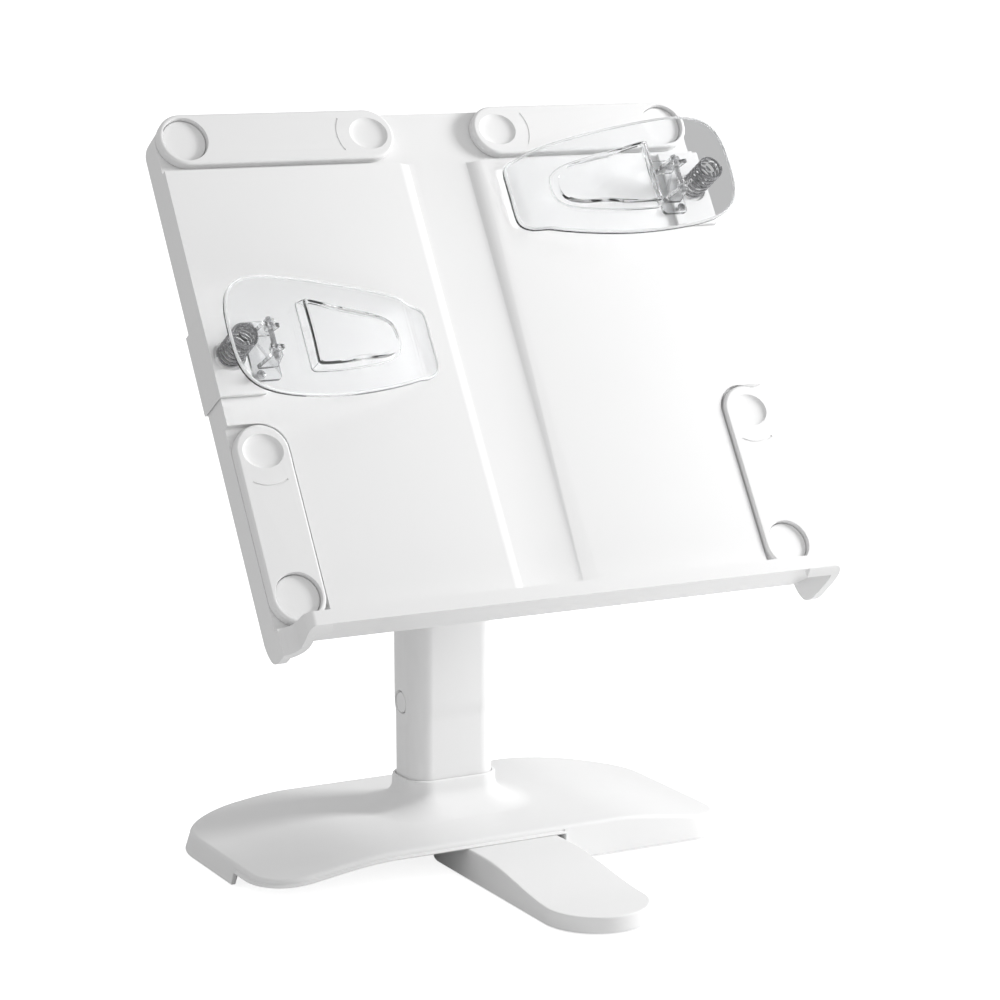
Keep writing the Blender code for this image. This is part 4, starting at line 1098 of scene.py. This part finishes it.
def make_arm(name):
    pivot, end = arm_ends(name)
    wall = ((0.2, PIN_SEAT_N), (0.4, PIN_SEAT_N + 0.25), (0.5, ARM_TOP_N - 0.4), (0.65, ARM_TOP_N - 0.12),
            (0.95, ARM_TOP_N + 0.05), (2.4, 9.0))
    dish = turned([(PIN_HEAD_RADIUS + grow, n) for grow, n in wall], pivot, steps=96)
    hole = disc(pivot, PIN_SHANK_RADIUS + GAP, -20.0, 10.0, steps=32)
    cuts = [cut(tool) for tool in (dish, arm_dimple(end), arm_groove(pivot, end), hole)]
    shape = carve(arm_bar(pivot, end), *cuts)
    skin(f"arm_{name}", shape, f"arm_{name}", "white", BOARD)

    head = PIN_SEAT_N + GAP
    back = -RECESS_DEPTH - BOARD_WALL - GAP
    profile = [(4.4, back - 1.4), (4.8, back - 1.0), (4.8, back), (PIN_SHANK_RADIUS, back),
               (PIN_SHANK_RADIUS, head)]
    crown = ((0.0, 0.0), (0.0, 0.9), (0.2, 1.15), (0.7, 1.3), (2.0, 1.34), (6.0, 1.3))
    profile += [(PIN_HEAD_RADIUS - inset, head + rise) for inset, rise in crown]
    profile.append((1.0, head + 1.28))
    skin(f"arm_pin_{name}", turned(profile, pivot, steps=96), "board", "white", BOARD)


# ---- clips

LEVER_CURVE = smooth_line(LEVER_LINE, 8)


def line_height(x):
    """Height of the lever's middle surface at x, along a smooth line through its stations."""
    for (ax, an), (bx, bn) in zip(LEVER_CURVE, LEVER_CURVE[1:]):
        if ax <= x <= bx:
            return an + (bn - an) * (x - ax) / (bx - ax)
    return LEVER_CURVE[0][1] if x < LEVER_CURVE[0][0] else LEVER_CURVE[-1][1]


def both_sides(half):
    """A closed outline from its upper half, which runs between two points on the middle line."""
    upper = smooth_line(half, 8)
    return upper + [(x, -v) for x, v in reversed(upper[1:-1])]


def shrink(outline, amount):
    """The outline drawn in towards the lever's centre by an amount along each ray."""
    points = []
    for point in outline:
        reach = hypot(point[0] - LEVER_CENTRE[0], point[1] - LEVER_CENTRE[1])
        share = (reach - amount) / reach
        points.append(toward(LEVER_CENTRE, point, share))
    return points


def bead(outline, radius, sides=8):
    """A thin round bead that runs along an outline, drawn in by its radius, on top of the lever."""
    path = shrink(outline, radius)[::2]
    lift = LEVER_THICK / 2
    rings = []
    for i, (x, v) in enumerate(path):
        ahead, behind = path[(i + 1) % len(path)], path[i - 1]
        run = Vector((ahead[0] - behind[0], ahead[1] - behind[1])).normalized()
        ring = []
        for k in range(sides):
            bend = 2 * pi * k / sides
            reach = radius * cos(bend)
            height = line_height(x) + lift + radius * sin(bend)
            ring.append((x + run.y * reach, v - run.x * reach, height))
        rings.append(ring)
    return loft(rings, closed=True)


def tongue_rise(x):
    along = (x - TONGUE_SIDE[0][0]) / (TONGUE_SIDE[-1][0] - TONGUE_SIDE[0][0])
    return TONGUE_RISE[0] + (TONGUE_RISE[1] - TONGUE_RISE[0]) * along


def lever_plate(rim, tongue):
    """The curved plate with the tongue pressed up out of it, as one skin of even thickness."""
    half = LEVER_THICK / 2
    # From the rim to the tongue's foot, up its wall and across its top, as (points, share of the rise)
    path = []
    for share in PLATE_SHARES:
        path.append(([toward(a, b, share) for a, b in zip(rim, tongue)], 0.0))
    path += [(shrink(tongue, amount), rise) for amount, rise in TONGUE_WALL]
    floor, floor_rise = path[-1]
    for share in (0.2, 0.4, 0.6, 0.8, 0.96):
        path.append(([toward(point, LEVER_CENTRE, share) for point in floor], floor_rise - 0.08 * share))

    def face(points, rise, sign):
        return [(x, v, line_height(x) + rise * tongue_rise(x) + sign * half) for x, v in points]

    rings = [face(points, rise, 1.0) for points, rise in reversed(path)]
    edge = 0.35
    upper = ((1.0, edge), (0.92, 0.1), (1.0 - edge, 0.0))
    for level, inset in (*upper, *((-level, inset) for level, inset in reversed(upper))):
        rings.append([(x, v, line_height(x) + half * level) for x, v in shrink(rim, inset)])
    rings += [face(points, rise, -1.0) for points, rise in path]
    return loft(rings)


def pin_hole():
    return disc(CLIP_PIN, CLIP_PIN_RADIUS + GAP, -20.0, 20.0, "y", 32)


def make_lever(side):
    count = 360
    angles = [2 * pi * i / count for i in range(count)]
    rim = ray_hits(both_sides(LEVER_SIDE), LEVER_CENTRE, angles)
    tongue = ray_hits(both_sides(TONGUE_SIDE), LEVER_CENTRE, angles)
    lug = [(CLIP_PIN[0] + 5.0, 26.0), (CLIP_PIN[0] - 5.0, 24.3)] + arc(CLIP_PIN, 3.4, 180.0, 360.0, 20)
    steps = [join(carve(prism(lug, v, v + CLIP_EAR_THICK, "y"), bevel=0.4, segments=2)) for v in CLIP_LUGS_V]
    # A boss under the lobe stands inside the spring's head, with room to lean as the lever is pressed
    under = line_height(CLIP_SPRING_X) - LEVER_THICK / 2
    boss = disc((CLIP_SPRING_X, 0.0), SPRING_BOSS_RADIUS, under - 1.6, under + 0.8)
    shape = carve(lever_plate(rim, tongue), *steps, cut(pin_hole()), join(boss))
    body = f"clip_lever_{side}"
    place = clip_place(side)
    skin(body, shape, body, "clear", place)
    piece(f"{body}_rim", bead(rim, RIM_BEAD), body, "frosted", place)
    piece(f"{body}_tongue_rim", bead(tongue, TONGUE_BEAD), body, "frosted", place)


def clip_base_shape():
    """The block that wraps the board's edge, with a round pocket for the spring's foot."""
    low = -BOARD_DEPTH - GAP
    edge = BOARD_HALF + GAP
    section = [(CLIP_PLATE_X, GAP), (edge, GAP), (edge, low), (155.0, low), (155.0, low - 1.6),
               (CLIP_OUTER_X, low - 1.6), (CLIP_OUTER_X, CLIP_FACE), (CLIP_PLATE_X, CLIP_FACE)]
    shape = carve(prism(section, -CLIP_HALF, CLIP_HALF, "y"), bevel=0.5, segments=2)
    pocket = turned([(SPRING_COIL + 1.9, 1.6), (SPRING_COIL + 1.9, 2.5), (SPRING_COIL + 2.2, 2.85),
                     (SPRING_COIL + 2.2, 9.0)], (CLIP_SPRING_X, 0.0))
    return carve(shape, cut(pocket))


def clip_bracket_shape():
    """The plate with two ears that hold the pin, and its screws' holes."""
    foot = BRACKET_FOOT
    plate = prism(rounded_box((130.5, -17.0), (146.5, 17.0), (2.5,) * 4, 8), foot, foot + BRACKET_THICK)
    ear = [(CLIP_PIN[0] + 6.0, foot + 1.0)] + arc(CLIP_PIN, 3.2, 0.0, 180.0, 24)
    ear.append((CLIP_PIN[0] - 6.0, foot + 1.0))
    steps = [join(prism(ear, v, v + CLIP_EAR_THICK, "y")) for v in CLIP_EARS_V]
    shape = carve(plate, *steps, bevel=0.4, segments=2)
    holes = [cut(disc((CLIP_PIN[0] + 5.0, v), 1.6, 0.0, 20.0, steps=24)) for v in CLIP_SCREWS_V.values()]
    return carve(shape, cut(pin_hole()), *holes)


def clip_screw_shape(v):
    """A small screw with a domed, cross-slotted head."""
    x = CLIP_PIN[0] + 5.0
    head = BRACKET_FOOT + BRACKET_THICK + GAP
    profile = [(1.3, 1.5), (1.3, head), (2.4, head), (2.5, head + 0.4), (2.3, head + 0.9), (1.7, head + 1.3),
               (0.6, head + 1.5)]
    cross = [box((x - a, v - b, head + 0.7), (x + a, v + b, head + 9.0)) for a, b in ((1.5, 0.3), (0.3, 1.5))]
    return carve(turned(profile, (x, v), steps=32), *(cut(slot) for slot in cross))


def make_clip(side):
    body = f"clip_{side}"
    place = clip_place(side)
    skin(f"clip_base_{side}", clip_base_shape(), body, "white", place)
    skin(f"clip_bracket_{side}", clip_bracket_shape(), body, "clear", place)
    ends = ((1.1, -12.3), (1.35, -12.2), (1.5, -11.9), (1.5, 11.9), (1.35, 12.2), (1.1, 12.3))
    skin(f"clip_pin_{side}", turned(ends, CLIP_PIN, "y", 32), body, "steel", place)
    for level, v in CLIP_SCREWS_V.items():
        skin(f"clip_screw_{side}_{level}", clip_screw_shape(v), body, "steel", place)
    top = line_height(CLIP_SPRING_X) - LEVER_THICK / 2 - 0.1
    coil = helix((CLIP_SPRING_X, 0.0), SPRING_SEAT, top, "z", SPRING_COIL, SPRING_WIRE, SPRING_TURNS)
    spring = skin(f"clip_spring_{side}", coil, body, "spring", place)
    ends = (CLIP_SPRING_X, 0.0, SPRING_SEAT), (CLIP_SPRING_X, 0.0, top)
    shorten(spring, f"clip_press_{side}", place, *ends, SPRING_TRAVEL)
    make_lever(side)


# ---- the other CAD parts, with rounded edges

SOFTENED = {
    "base": (("base_plate", "white", 0.4), ("leg_pivot_bolt", "steel", 0.3),
             ("leg_pivot_washer", "steel", 0.15)),
    "leg": (("leg_foot", "rubber", 0.4),),
    "riser": (("riser", "white", 0.8),),
    "board": (("back_cover_left", "panel", 0.5), ("back_cover_right", "panel", 0.5),
              ("hinge_bracket", "white", 0.7), ("hinge_bolt", "steel", 0.4), ("hinge_nut", "steel", 0.4),
              ("hinge_washer_left", "steel", 0.15), ("hinge_washer_right", "steel", 0.15)),
}


def make_rest():
    for body, parts in SOFTENED.items():
        for node, finish, bevel in parts:
            soften(node, body, finish, bevel)
    for number in (1, 2, 3):
        soften(f"base_foot_{number}", "base", "rubber", 0.4)
    for number in (1, 2, 3, 4):
        soften(f"base_screw_{number}", "base", "steel", 0.3)
        soften(f"bracket_screw_{number}", "board", "steel", 0.3)


# ---- floor, light and camera


def make_floor():
    floor_shape = bmesh.new()
    bmesh.ops.create_grid(floor_shape, x_segments=1, y_segments=1, size=60.0)
    floor = mesh_object("floor", floor_shape)
    made = Nodes("pale_floor")
    made.set(Base_Color=(0.8, 0.8, 0.8, 1.0), Roughness=0.9)
    made.bump(made.noise(120.0), 0.02, 0.0005)
    # The paper sweep is lit evenly on its own, which lightens the object's shadow on it
    camera_ray = made.add("ShaderNodeLightPath").outputs["Is Camera Ray"]
    strength = made.add("ShaderNodeMath", ((0, camera_ray), (1, FLOOR_GLOW)), operation="MULTIPLY")
    glow = made.add("ShaderNodeEmission", (("Strength", strength.outputs[0]),)).outputs["Emission"]
    both = made.add("ShaderNodeAddShader", ((0, made.shader.outputs["BSDF"]), (1, glow)))
    made.show(both.outputs["Shader"])
    floor.data.materials.append(made.material)


def make_world():
    """An even white surround that lights the object, seen by the camera as a plain white backdrop."""
    world = bpy.data.worlds.new("studio")
    bpy.context.scene.world = world
    world.use_nodes = True
    tree = world.node_tree
    ambient = tree.nodes["Background"]
    backdrop = tree.nodes.new("ShaderNodeBackground")
    for light, strength in ((ambient, AMBIENT), (backdrop, BACKDROP)):
        light.inputs["Color"].default_value = (1.0, 1.0, 1.0, 1.0)
        light.inputs["Strength"].default_value = strength
    choice = tree.nodes.new("ShaderNodeMixShader")
    tree.links.new(tree.nodes.new("ShaderNodeLightPath").outputs["Is Camera Ray"], choice.inputs["Fac"])
    tree.links.new(ambient.outputs["Background"], choice.inputs[1])
    tree.links.new(backdrop.outputs["Background"], choice.inputs[2])
    tree.links.new(choice.outputs["Shader"], tree.nodes["World Output"].inputs["Surface"])


def area_light(name, place, target, size, power):
    """A soft box that lights the object without showing in its reflections."""
    lamp = bpy.data.lights.new(name, "AREA")
    lamp.shape = "RECTANGLE"
    lamp.size, lamp.size_y = size
    lamp.energy = power
    obj = add_object(name, lamp)
    obj.location = place
    obj.rotation_euler = (Vector(target) - Vector(place)).to_track_quat("-Z", "Y").to_euler()
    obj.visible_glossy = False


def make_lights():
    key_place = Vector(LIGHT_TARGET) + KEY_DISTANCE * Vector(KEY_DIRECTION)
    area_light("key", key_place, LIGHT_TARGET, KEY_SIZE, KEY_POWER)
    area_light("fill", FILL_PLACE, LIGHT_TARGET, FILL_SIZE, FILL_POWER)


def make_camera():
    data = bpy.data.cameras.new("camera")
    data.lens = CAMERA_LENS
    data.sensor_width = CAMERA_SENSOR
    data.shift_x, data.shift_y = CAMERA_SHIFT
    data.clip_end = 200.0
    camera = add_object("camera", data)
    camera.location = CAMERA_PLACE
    camera.rotation_euler = Vector(CAMERA_HEADING).to_track_quat("-Z", "Y").to_euler()
    bpy.context.scene.camera = camera
    bpy.context.scene.view_settings.view_transform = "Standard"


make_camera()
make_lights()
make_floor()
make_world()
make_base()
make_leg()
make_column()
make_button()
make_board()
for name in ARMS:
    make_arm(name)
for side in SIDES:
    make_clip(side)
make_rest()
